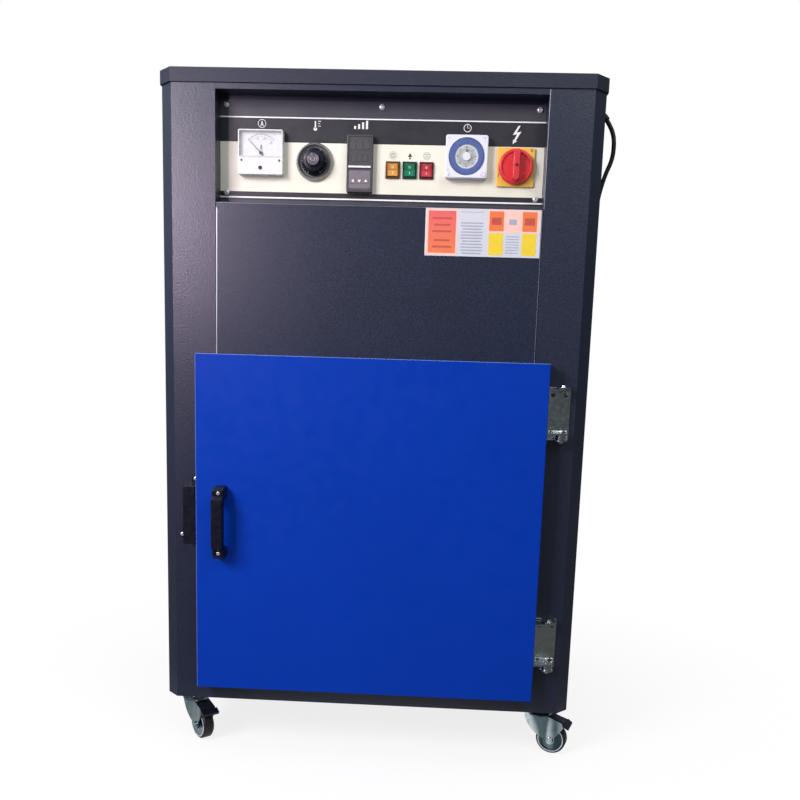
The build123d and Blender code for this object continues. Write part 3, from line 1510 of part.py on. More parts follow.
def caster_wheel(x, y, angle, trail):
    """Solid tyre with rounded shoulders on a dished hub, bored for the axle."""
    along, across = trail_direction(angle)
    centre = (x + along * trail, y + across * trail, axle_z)
    profile_plane = Plane(origin=centre, x_dir=(0, 0, 1), z_dir=(along, across, 0))
    half = wheel_width / 2
    bore = axle_diameter / 2 + running_fit
    with BuildPart() as wheel:
        with BuildSketch(profile_plane):
            with BuildLine():
                Polyline(
                    (bore, -half - 1),
                    (9, -half - 1),
                    (10, -half + 3),
                    (20, -half + 3),
                    (21.5, -half),
                    (wheel_radius - 3, -half),
                    (wheel_radius, -half + 3),
                    (wheel_radius, half - 3),
                    (wheel_radius - 3, half),
                    (21.5, half),
                    (20, half - 3),
                    (10, half - 3),
                    (9, half + 1),
                    (bore, half + 1),
                    close=True,
                )
            make_face()
        revolve(axis=Axis(centre, (across, -along, 0)))
    return wheel


def brake_pedal(x, angle):
    """A hood over the trailing side of the wheel, hung on the pedal pin, with a wide toe."""
    y = front_caster_y
    hood_half_width = fork_half_width - fork_wall - 0.5
    with BuildPart() as pedal:
        with BuildSketch(caster_side_plane(x, y, angle, -hood_half_width)):
            with BuildLine():
                Polyline(
                    (pedal_pin_reach - 6, pedal_pin_z + 3),
                    (pedal_pin_reach + 6, pedal_pin_z + 6),
                    (wheel_trail + 26, pedal_pin_z - 1),
                    (wheel_trail + 36, pedal_pin_z - 8),
                    (wheel_trail + 35, pedal_pin_z - 13),
                    (wheel_trail + 22, pedal_pin_z - 9),
                    (pedal_pin_reach, pedal_pin_z - 4),
                    close=True,
                )
            make_face()
            with Locations((pedal_pin_reach, pedal_pin_z)):
                Circle(pedal_pin_radius + running_fit, mode=Mode.SUBTRACT)
        extrude(amount=2 * hood_half_width)
        # Toe wider than the hood
        toe_half_width = fork_half_width + 1.5
        with BuildSketch(caster_side_plane(x, y, angle, -toe_half_width)):
            with BuildLine():
                Polyline(
                    (wheel_trail + 27, pedal_pin_z - 2),
                    (wheel_trail + 36, pedal_pin_z - 8),
                    (wheel_trail + 35, pedal_pin_z - 13),
                    (wheel_trail + 26, pedal_pin_z - 9),
                    close=True,
                )
            make_face()
        extrude(amount=2 * toe_half_width)
    return pedal


pedal_pin_reach = 20.0
pedal_pin_z = 68.0
pedal_pin_radius = 2.0
for side, (x, angle) in front_casters.items():
    pieces[f"{side}_caster_fork"] = swivel_fork(x, angle)
    pieces[f"front_{side}_wheel"] = caster_wheel(x, front_caster_y, angle, wheel_trail)
    pieces[f"{side}_brake_pedal"] = brake_pedal(x, angle)

rigid_angle = 90.0
with BuildPart() as rear_caster_brackets:
    for x in (-caster_x, caster_x):
        with BuildSketch(level(plate_low_z)):
            with Locations((x, rear_caster_y)):
                RectangleRounded(caster_plate, caster_plate, 6)
                with GridLocations(caster_bolt_pitch, caster_bolt_pitch, 2, 2):
                    Circle(caster_bolt_hole / 2, mode=Mode.SUBTRACT)
        extrude(amount=caster_plate_wall)
        for leg_offset in (-fork_half_width, fork_half_width - fork_wall):
            with BuildSketch(caster_side_plane(x, rear_caster_y, rigid_angle, leg_offset)):
                with BuildLine():
                    Line((-bracket_width / 2, plate_low_z), (bracket_width / 2, plate_low_z))
                    Line((bracket_width / 2, plate_low_z), (axle_eye, axle_z))
                    ThreePointArc((axle_eye, axle_z), (0, axle_z - axle_eye), (-axle_eye, axle_z))
                    Line((-axle_eye, axle_z), (-bracket_width / 2, plate_low_z))
                make_face()
            extrude(amount=fork_wall)
        with BuildSketch(caster_side_plane(x, rear_caster_y, rigid_angle, -fork_half_width - 3)):
            with Locations((0, axle_z)):
                Circle(axle_diameter / 2)
        extrude(amount=2 * fork_half_width + 6)
pieces["rear_caster_brackets"] = rear_caster_brackets
for side, x in (("left", -caster_x), ("right", caster_x)):
    pieces[f"rear_{side}_wheel"] = caster_wheel(x, rear_caster_y, rigid_angle, 0)

# Cord: gland on the right wall, a loose bow, then a long hang to the floor behind the oven
cord_radius = cord_diameter / 2
cord_floor = cord_radius + 0.2
coil_outer = coil_inner + coil_half_turns_in * coil_pitch / 2
cord_lane_x = half_body + lane_offset
coil_centre = (cord_lane_x - coil_outer, back_y + coil_clear_of_back)
gland_at = (half_body, front_y + gland_y, base_z + gland_height)
elbow_drop = elbow_radius * (1 - cos(elbow_turn))
cord_start = (half_body + elbow_radius * sin(elbow_turn), gland_at[1], gland_at[2] - elbow_drop)
first_run = 20.0
hang_back = touch_down - gland_y
hang_drop = gland_at[2] - cord_floor
# The bow beside the gland: how far out from the wall, back from the gland and below it
bow = [(34.1, 0, 49.7), (32.1, 0, 77.7), (20.8, 1, 104), (10, 4, 149)]
# The hang: how far out from the wall, and the shares of the way back and of the drop behind it
hang = [
    (7.6, 0.031, 0.184),
    (7.8, 0.070, 0.267),
    (8.3, 0.111, 0.350),
    (8.8, 0.157, 0.433),
    (9.2, 0.208, 0.515),
    (9.6, 0.264, 0.595),
    (10.0, 0.328, 0.675),
    (10.4, 0.402, 0.751),
    (10.8, 0.487, 0.823),
    (11.1, 0.588, 0.890),
    (11.4, 0.707, 0.946),
    (11.7, 0.846, 0.985),
]
cord_points = [
    cord_start,
    (cord_start[0] + first_run * cos(elbow_turn), gland_at[1], cord_start[2] - first_run * sin(elbow_turn)),
]
cord_points += [(half_body + out, gland_at[1] + back, gland_at[2] - below) for out, back, below in bow]
cord_points += [
    (half_body + out, gland_at[1] + back * hang_back, gland_at[2] - drop * hang_drop)
    for out, back, drop in hang
]
cord_points += [
    (cord_lane_x, front_y + touch_down, cord_floor),
    (cord_lane_x, coil_centre[1] - cord_diameter, cord_floor),
]


def unit(start, end):
    """Unit vector from one point to another."""
    length = dist(start, end)
    return tuple((b - a) / length for a, b in zip(start, end))


def route_radii(points):
    """Largest arc at each inner point that leaves a tenth of both runs straight."""
    radii = []
    for before, corner, after in zip(points, points[1:], points[2:]):
        way_in = unit(before, corner)
        way_out = unit(corner, after)
        cross = dist(way_in, way_out)
        half_turn = asin(min(1.0, cross / 2))
        shorter = min(dist(before, corner), dist(corner, after))
        radii.append(0.45 * shorter / tan(half_turn))
    return radii


cord_radii = route_radii(cord_points)
cord_start_direction = unit(cord_points[0], cord_points[1])
with BuildPart() as power_cord:
    with BuildLine() as cord_route:
        FilletPolyline(*cord_points, radius=cord_radii)
    with BuildSketch(Plane(origin=cord_points[0], z_dir=cord_start_direction)):
        Circle(cord_radius)
    sweep(path=cord_route.line)
pieces["power_cord"] = power_cord


def half_turn_mid(start_x, end_x, over, z):
    """Crown of a level half turn between two points on the coil's middle line."""
    return ((start_x + end_x) / 2, coil_centre[1] + over * abs(start_x - end_x) / 2, z)


# The coil winds in on the floor, climbs through one half turn and winds out on top.
coil_z = [cord_floor, cord_floor + coil_pitch]
with BuildPart() as cord_coil:
    with BuildLine() as coil_route:
        place_x = coil_centre[0] + coil_outer
        centre_y = coil_centre[1]
        Line((place_x, centre_y - cord_diameter, coil_z[0]), (place_x, centre_y, coil_z[0]))
        side = 1
        for turn in range(coil_half_turns_in):
            radius = coil_outer - turn * coil_pitch / 2
            next_x = place_x - 2 * side * radius
            ThreePointArc(
                (place_x, centre_y, coil_z[0]),
                half_turn_mid(place_x, next_x, side, coil_z[0]),
                (next_x, centre_y, coil_z[0]),
            )
            place_x = next_x
            side = -side
        # The climb is two equal arcs that meet halfway up.
        next_x = place_x - 2 * side * coil_inner
        crown_reach = dist((place_x, coil_z[0]), (next_x, coil_z[1])) / 2
        crown = ((place_x + next_x) / 2, centre_y + side * crown_reach, sum(coil_z) / 2)
        TangentArc((place_x, centre_y, coil_z[0]), crown, tangent=(0, side, 0))
        TangentArc(crown, (next_x, centre_y, coil_z[1]), tangent=(next_x - place_x, 0, coil_pitch))
        place_x = next_x
        side = -side
        for turn in range(coil_half_turns_out):
            radius = coil_inner + (turn + 1) * coil_pitch / 2
            next_x = place_x - 2 * side * radius
            ThreePointArc(
                (place_x, centre_y, coil_z[1]),
                half_turn_mid(place_x, next_x, side, coil_z[1]),
                (next_x, centre_y, coil_z[1]),
            )
            place_x = next_x
            side = -side
        Line((place_x, centre_y, coil_z[1]), (place_x, centre_y + side * coil_lead, coil_z[1]))
    with BuildSketch(
        Plane(origin=(coil_centre[0] + coil_outer, centre_y - cord_diameter, coil_z[0]), z_dir=(0, 1, 0))
    ):
        Circle(cord_radius)
    sweep(path=coil_route.line)
pieces["cord_coil"] = cord_coil

# Plug: a flat moulded body with a ribbed neck and three flat blades
plug_x = place_x
plug_y = centre_y + side * coil_lead
plug_z = coil_z[1]
plug_plane = Plane(origin=(plug_x, plug_y, plug_z), x_dir=(1, 0, 0), z_dir=(0, side, 0))
neck_length = 14.0
with BuildPart() as power_plug:
    with BuildSketch(plug_plane):
        Circle(cord_radius + 2.5)
    extrude(amount=neck_length)
    with BuildSketch(plug_plane.offset(neck_length)) as neck_end:
        RectangleRounded(18, 16, 4)
    with BuildSketch(plug_plane.offset(neck_length + 18)) as body_start:
        RectangleRounded(plug_width, plug_thickness - 0.6, 6)
    loft(sections=[neck_end.sketch, body_start.sketch])
    with BuildSketch(plug_plane.offset(neck_length + 18)):
        RectangleRounded(plug_width, plug_thickness - 0.6, 6)
    extrude(amount=plug_length - 18)
    with BuildSketch(plug_plane.offset(neck_length + plug_length)):
        with Locations((-11, -3), (11, -3)):
            Rectangle(2, 6.5)
        with Locations((0, 5.5)):
            Rectangle(6.5, 2)
    extrude(amount=18)
pieces["power_plug"] = power_plug

# Gland: a flange on the wall, a stem through it and a tapered boot that turns the cord down
with BuildPart() as cable_gland:
    with BuildLine() as elbow:
        TangentArc(gland_at, cord_points[0], tangent=(1, 0, 0))
    with BuildSketch(sideways(half_body)):
        with Locations((gland_at[1], gland_at[2])):
            Circle(boot_root_diameter / 2)
    with BuildSketch(Plane(origin=cord_points[0], z_dir=cord_start_direction)):
        Circle(boot_tip_diameter / 2)
    sweep(path=elbow.line, multisection=True)
    with BuildSketch(sideways(half_body)):
        with Locations((gland_at[1], gland_at[2])):
            Circle(gland_flange / 2)
    extrude(amount=3)
    with BuildSketch(sideways(half_body - 14)):
        with Locations((gland_at[1], gland_at[2])):
            Circle(cord_radius + 2)
    extrude(amount=14)
pieces["cable_gland"] = cable_gland


def sampled(route, step):
    """Points along a route, a step apart."""
    points = []
    for edge in route.edges():
        count = max(2, ceil(edge.length / step))
        points += [tuple(edge.position_at(i / count)) for i in range(count)]
    return points


def least_gap(points, step, wire):
    """Smallest clear distance between stretches of a wire more than three diameters apart."""
    skip = int(4 * wire / step)
    return min(
        dist(points[i], points[j]) - wire
        for i in range(len(points))
        for j in range(i + skip, len(points))
    )


gap_step = 4.0
cord_length = sum(edge.length for edge in cord_route.line.edges())
coil_length = sum(edge.length for edge in coil_route.line.edges())
cord_section = pi * cord_radius**2
print("cord arc radii", [round(r) for r in cord_radii])
print("cord length", round(cord_length), "coil length", round(coil_length))
print("cord volume over section x length", round(power_cord.part.volume / cord_section / cord_length, 4))
print("coil volume over section x length", round(cord_coil.part.volume / cord_section / coil_length, 4))
print("coil least gap", round(least_gap(sampled(coil_route.line, gap_step), gap_step, cord_diameter), 2))

os.makedirs("parts", exist_ok=True)
for name, piece in pieces.items():
    piece.part.label = name
    export_step(piece.part, f"parts/{name}.step")
print(len(pieces), "pieces, front face at y", front_y)
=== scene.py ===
from math import cos, pi, radians, sin, sqrt

import bmesh
import bpy
from mathutils import Matrix, Vector


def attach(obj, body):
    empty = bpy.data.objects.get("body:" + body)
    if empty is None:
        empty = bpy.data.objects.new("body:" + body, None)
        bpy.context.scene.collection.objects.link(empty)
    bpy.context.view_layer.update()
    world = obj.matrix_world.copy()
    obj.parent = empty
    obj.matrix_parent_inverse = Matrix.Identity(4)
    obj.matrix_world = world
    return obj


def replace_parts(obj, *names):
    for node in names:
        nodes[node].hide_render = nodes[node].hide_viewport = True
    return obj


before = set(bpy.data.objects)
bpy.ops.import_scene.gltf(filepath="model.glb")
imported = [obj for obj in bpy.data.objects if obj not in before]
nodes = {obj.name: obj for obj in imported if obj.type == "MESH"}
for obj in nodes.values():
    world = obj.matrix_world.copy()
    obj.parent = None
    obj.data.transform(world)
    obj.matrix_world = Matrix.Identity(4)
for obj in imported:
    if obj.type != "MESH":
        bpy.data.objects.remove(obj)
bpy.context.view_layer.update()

scene = bpy.context.scene

# Places in the frame, in metres
front_y = -0.3035
back_y = 0.3365
base_z = 0.093
fascia_y = front_y + 0.0367

# Camera at the photograph's place: yaw, pitch and roll in radians, focal length and centre in pixels
camera_at = Vector((0.1125, -1.8995, 0.7396))
camera_yaw, camera_pitch, camera_roll = 0.042, -0.166, 0.031
focal_pixels = 877.1
principal = (394.7, 511.0)
picture_side = 800.0


def placed(name, data):
    """A new object in the scene."""
    made = bpy.data.objects.new(name, data)
    scene.collection.objects.link(made)
    return made


def place_camera():
    forward = Vector((
        -sin(camera_yaw) * cos(camera_pitch),
        cos(camera_yaw) * cos(camera_pitch),
        sin(camera_pitch),
    ))
    level_right = Vector((cos(camera_yaw), sin(camera_yaw), 0))
    level_up = level_right.cross(forward)
    right = cos(camera_roll) * level_right + sin(camera_roll) * level_up
    down = sin(camera_roll) * level_right - cos(camera_roll) * level_up
    turn = Matrix((right, -down, -forward)).transposed().to_4x4()
    data = bpy.data.cameras.new("view_camera")
    data.sensor_width = 36
    data.lens = focal_pixels * data.sensor_width / picture_side
    data.shift_x = (picture_side / 2 - principal[0]) / picture_side
    data.shift_y = (principal[1] - picture_side / 2) / picture_side
    data.clip_end = 100
    camera = placed("view_camera", data)
    camera.matrix_world = Matrix.Translation(camera_at) @ turn
    scene.camera = camera


place_camera()


class Tree:
    """The node tree of a material or a world, built from empty."""

    def __init__(self, owner, output):
        owner.use_nodes = True
        self.tree = owner.node_tree
        self.tree.nodes.clear()
        self.output = self.node(output)

    def node(self, kind, **values):
        made = self.tree.nodes.new(kind)
        for key, value in values.items():
            setattr(made, key, value)
        return made

    def feed(self, socket, source):
        """Link a source to a socket, or set a plain value on it."""
        if hasattr(source, "is_output"):
            self.tree.links.new(source, socket)
        else:
            socket.default_value = source

    def tune(self, made, **sources):
        """Feed a node's sockets by their names, and return the node."""
        for name, source in sources.items():
            self.feed(made.inputs[name.replace("_", " ")], source)
        return made

    def fed(self, kind, *sources, **values):
        """The first output of a new node, its first sockets fed in order."""
        made = self.node(kind, **values)
        for socket, source in zip(made.inputs, sources):
            self.feed(socket, source)
        return made.outputs[0]

    def show(self, shader):
        self.feed(self.output.inputs["Surface"], shader)

    def blended(self, factor, first, second):
        """Two shaders, mixed by a factor."""
        return self.fed("ShaderNodeMixShader", factor, first, second)

    def ramp(self, source, low, high, out_low=0.0, out_high=1.0):
        """The source, rescaled from one range to another and held inside it."""
        return self.fed("ShaderNodeMapRange", source, low, high, out_low, out_high)

    def reckon(self, operation, first, second):
        return self.fed("ShaderNodeMath", first, second, operation=operation)

    def axis(self, place, which):
        split = self.node("ShaderNodeSeparateXYZ")
        self.feed(split.inputs[0], place)
        return split.outputs[which]


class Finish(Tree):
    """One procedural material: a Principled shader and the nodes that feed it, in object coordinates."""

    def __init__(self, name, colour, roughness=0.5, metallic=0.0, **sockets):
        self.material = bpy.data.materials.new(name)
        super().__init__(self.material, "ShaderNodeOutputMaterial")
        self.shader = self.node("ShaderNodeBsdfPrincipled")
        self.show(self.shader.outputs["BSDF"])
        self.colour = (*colour, 1)
        self.tune(self.shader, Base_Color=self.colour, Roughness=roughness, Metallic=metallic)
        self.tune(self.shader, **sockets)
        self.place = self.node("ShaderNodeTexCoord").outputs["Object"]
        self.height = None

    def noise(self, scale, detail, stretch=None, distortion=0.0):
        place = self.place
        if stretch:
            mapping = self.tune(self.node("ShaderNodeMapping"), Vector=place, Scale=stretch)
            place = mapping.outputs["Vector"]
        made = self.node("ShaderNodeTexNoise")
        self.tune(made, Vector=place, Scale=scale, Detail=detail, Distortion=distortion)
        return made.outputs["Fac"]

    def spangles(self, scale):
        """Flat crystals, each with a value of its own."""
        cells = self.tune(self.node("ShaderNodeTexVoronoi"), Vector=self.place, Scale=scale)
        return self.fed("ShaderNodeSeparateColor", cells.outputs["Color"])

    def between(self, source, low, high):
        """One where the source lies between two values, else nought."""
        above = self.reckon("GREATER_THAN", source, low)
        return self.reckon("MULTIPLY", above, self.reckon("LESS_THAN", source, high))

    def mixed(self, factor, first, second):
        made = self.node("ShaderNodeMix", data_type="RGBA")
        self.feed(made.inputs[0], factor)
        for index, value in ((6, first), (7, second)):
            if isinstance(value, tuple) and len(value) == 3:
                value = (*value, 1)
            self.feed(made.inputs[index], value)
        return made.outputs[2]

    def paint(self, factor, other):
        """Blend another colour over the colour so far, by a factor."""
        self.colour = self.mixed(factor, self.colour, other)
        self.tune(self.shader, Base_Color=self.colour)

    def stain(self, scale, detail, low, high, share, other):
        """Blend another colour in where a noise runs high, up to a share."""
        self.paint(self.ramp(self.noise(scale, detail), low, high, 0, share), other)

    def dull(self, scale, detail, low, high):
        """Let the roughness wander between two values."""
        self.tune(self.shader, Roughness=self.ramp(self.noise(scale, detail), 0.3, 0.7, low, high))

    def bump(self, source, strength, distance):
        """Raise the surface by a source, on top of any earlier bump."""
        made = self.tune(self.node("ShaderNodeBump"), Strength=strength, Distance=distance, Height=source)
        if self.height is not None:
            self.tune(made, Normal=self.height)
        self.height = made.outputs["Normal"]
        self.tune(self.shader, Normal=self.height)

    def grain(self, scale, detail, strength, distance):
        self.bump(self.noise(scale, detail), strength, distance)


def darker(colour, share):
    return tuple(share * c for c in colour)


def hammered(name, colour, pale, roughness=0.34, level=0.6, grain=300, strength=0.6):
    """Textured powder coat: a fine sparkling grain of raised points, and slow cloudy changes of tone."""
    finish = Finish(name, colour, roughness, Specular_IOR_Level=level)
    finish.stain(420, 2, 0.3, 0.7, 1, pale)
    finish.stain(5, 3, 0.35, 0.8, 0.35, darker(colour, 0.7))
    finish.dull(340, 2, roughness - 0.05, roughness + 0.04)
    finish.grain(grain, 2, strength, 0.0004)
    return finish.material


def powder_coat(name, colour, roughness=0.42, grain=600, strength=0.12, level=0.5):
    """Smooth powder coat with a fine orange peel."""
    finish = Finish(name, colour, roughness, Specular_IOR_Level=level)
    finish.stain(4, 2, 0.35, 0.75, 0.3, darker(colour, 0.82))
    finish.dull(40, 4, roughness - 0.06, roughness + 0.08)
    finish.grain(grain, 2, strength, 0.0004)
    return finish.material


def sheet_metal(name, colour, roughness=0.32, brushed=(1, 1, 30), scale=60, spangle=0.0):
    """Brushed, rolled or galvanized sheet: streaks along the rolling direction, spangle, duller patches."""
    finish = Finish(name, colour, roughness, 1.0)
    streaks = finish.noise(scale, 4, brushed)
    finish.paint(finish.ramp(streaks, 0.3, 0.7, 0, 0.5), darker(colour, 0.72))
    if spangle:
        finish.paint(finish.ramp(finish.spangles(70), 0, 1, 0, spangle), darker(colour, 0.6))
    finish.dull(26, 4, roughness - 0.03, roughness + 0.05)
    finish.bump(streaks, 0.08, 0.0002)
    return finish.material


def plated(name, colour, roughness=0.2):
    """Zinc or chrome plate on pressed parts: bright, slightly wavy from the press, dull in places."""
    finish = Finish(name, colour, roughness, 1.0)
    finish.stain(70, 4, 0.4, 0.75, 0.3, darker(colour, 0.6))
    finish.dull(120, 3, roughness - 0.06, roughness + 0.1)
    finish.grain(34, 1, 0.6, 0.003)
    finish.grain(160, 2, 0.06, 0.0003)
    return finish.material


def passivated(name, colour, shade):
    """Bright zinc on bent sheet, with broad upright bands of a darker blue-green: partly the tint of
    passivation, partly a painted reflection of the bright and dark bands a curved pressed sheet mirrors.
    """
    finish = Finish(name, colour, 0.18, 1.0)
    bands = finish.noise(30, 1, (1, 1, 0.25), 0.4)
    # Partly passivation tint, partly painted reflection: the upright bands of darker colour stand for the
    # dark bands a curved pressed sheet mirrors.
    finish.paint(finish.ramp(bands, 0.42, 0.58), shade)
    finish.stain(90, 4, 0.5, 0.8, 0.4, darker(shade, 0.5))
    finish.dull(120, 3, 0.13, 0.28)
    finish.bump(bands, 0.6, 0.01)
    finish.grain(160, 2, 0.06, 0.0003)
    return finish.material


def moulded(name, colour, roughness=0.4, grain=900, strength=0.1, **sockets):
    """Moulded plastic: fine grain, faint tone change, scuffs that only change the gloss."""
    finish = Finish(name, colour, roughness, **sockets)
    finish.stain(60, 3, 0.4, 0.75, 0.25, darker(colour, 0.8))
    finish.dull(140, 4, roughness - 0.08, roughness + 0.12)
    finish.grain(grain, 2, strength, 0.0002)
    return finish.material


def rubber(name, colour, roughness=0.6):
    """Matt rubber with a trace of dust."""
    finish = Finish(name, colour, roughness, Specular_IOR_Level=0.35)
    finish.stain(35, 5, 0.5, 0.8, 0.3, tuple(c + 0.025 for c in colour))
    finish.dull(80, 4, roughness - 0.1, roughness + 0.15)
    finish.grain(700, 3, 0.15, 0.0003)
    return finish.material


def lens(name, colour, glow):
    """Tinted clear plastic over a dark chamber, with vertical moulded ribs behind its face."""
    finish = Finish(name, colour, 0.22, Specular_IOR_Level=0.6, Coat_Weight=0.4, Coat_Roughness=0.1)
    wave = finish.node("ShaderNodeTexWave", wave_type="BANDS", bands_direction="X")
    ribs = finish.tune(wave, Vector=finish.place, Scale=160, Distortion=0.4).outputs["Fac"]
    finish.paint(finish.ramp(ribs, 0, 1, 0, 0.4), glow)
    finish.stain(90, 3, 0.45, 0.8, 0.5, darker(colour, 0.35))
    finish.dull(200, 3, 0.14, 0.3)
    finish.bump(ribs, 0.06, 0.0003)
    return finish.material


def wool():
    """Felted mineral wool: a mat of long fibres."""
    finish = Finish("mineral_wool", (0.6, 0.52, 0.32), 0.95)
    fibres = finish.noise(55, 6, (1, 1, 7), 0.8)
    finish.paint(finish.ramp(fibres, 0.35, 0.7), (0.42, 0.34, 0.18))
    finish.tune(finish.shader, Roughness=finish.ramp(fibres, 0.3, 0.7, 0.85, 1.0))
    finish.bump(fibres, 0.8, 0.004)
    return finish.material


def printed_panel():
    """The fascia, by height: a dark field on painted sheet, with a cream band and two white rules. Above the
    upper rule the field is painted lighter than between the rules, a painted light that offsets the shade
    under the recess's roof.
    """
    # The base colour shows above the upper rule: painted lighter than the field between the rules, a painted
    # light against the recess roof's shade.
    finish = Finish("printed_panel", (0.055, 0.055, 0.068), 0.36, Specular_IOR_Level=0.35)
    finish.stain(14, 3, 0.4, 0.75, 0.4, (0.042, 0.042, 0.052))
    height = finish.axis(finish.place, "Z")
    dark, white = (0.024, 0.024, 0.03), (0.85, 0.85, 0.85)
    cream = finish.mixed(finish.ramp(finish.noise(20, 4), 0.35, 0.75), (0.8, 0.8, 0.67), (0.75, 0.74, 0.6))
    for low, high, colour in (
        (0.930, 1.069, dark), (0.944, 1.0285, cream), (1.069, 1.0711, white), (0.9328, 0.9354, white),
    ):
        finish.paint(finish.between(height, base_z + low, base_z + high), colour)
    finish.dull(50, 4, 0.3, 0.45)
    finish.grain(500, 2, 0.08, 0.0002)
    return finish.material


def tinted_frames():
    """The three rocker frames, each tinted like its cap."""
    finish = Finish("rocker_frame", (0.01, 0.01, 0.012), 0.3)
    across = finish.axis(finish.place, "X")
    for low, high, tint in (
        (0.005, 0.0365, (0.085, 0.04, 0.006)),
        (0.0365, 0.0665, (0.0, 0.035, 0.02)),
        (0.0665, 0.1, (0.1, 0.006, 0.012)),
    ):
        finish.paint(finish.between(across, low, high), tint)
    finish.stain(60, 3, 0.4, 0.8, 0.3, (0.01, 0.01, 0.01))
    finish.dull(140, 4, 0.22, 0.4)
    finish.grain(900, 2, 0.1, 0.0002)
    return finish.material


def red_print():
    """Card ink that runs from orange at the foot to red at the head."""
    finish = Finish("card_red_ink", (0.76, 0.19, 0.075), 0.42)
    finish.paint(finish.ramp(finish.axis(finish.place, "Z"), 0.95, 1.0), (0.72, 0.13, 0.12))
    finish.stain(120, 3, 0.4, 0.8, 0.3, (0.7, 0.08, 0.04))
    finish.dull(60, 3, 0.36, 0.5)
    finish.grain(500, 2, 0.06, 0.0001)
    return finish.material


def window_glass():
    """Clear plastic that lets light through and mirrors a little at a slant."""
    finish = Finish("instrument_window", (0.9, 0.93, 0.93), 0.06)
    finish.dull(30, 4, 0.03, 0.09)
    finish.grain(15, 2, 0.02, 0.0002)
    clear = finish.node("ShaderNodeBsdfTransparent")
    slant = finish.tune(finish.node("ShaderNodeLayerWeight"), Blend=0.25)
    mirror = finish.ramp(slant.outputs["Fresnel"], 0.0, 1.0, 0.03, 0.5)
    finish.show(finish.blended(mirror, clear.outputs[0], finish.shader.outputs[0]))
    return finish.material


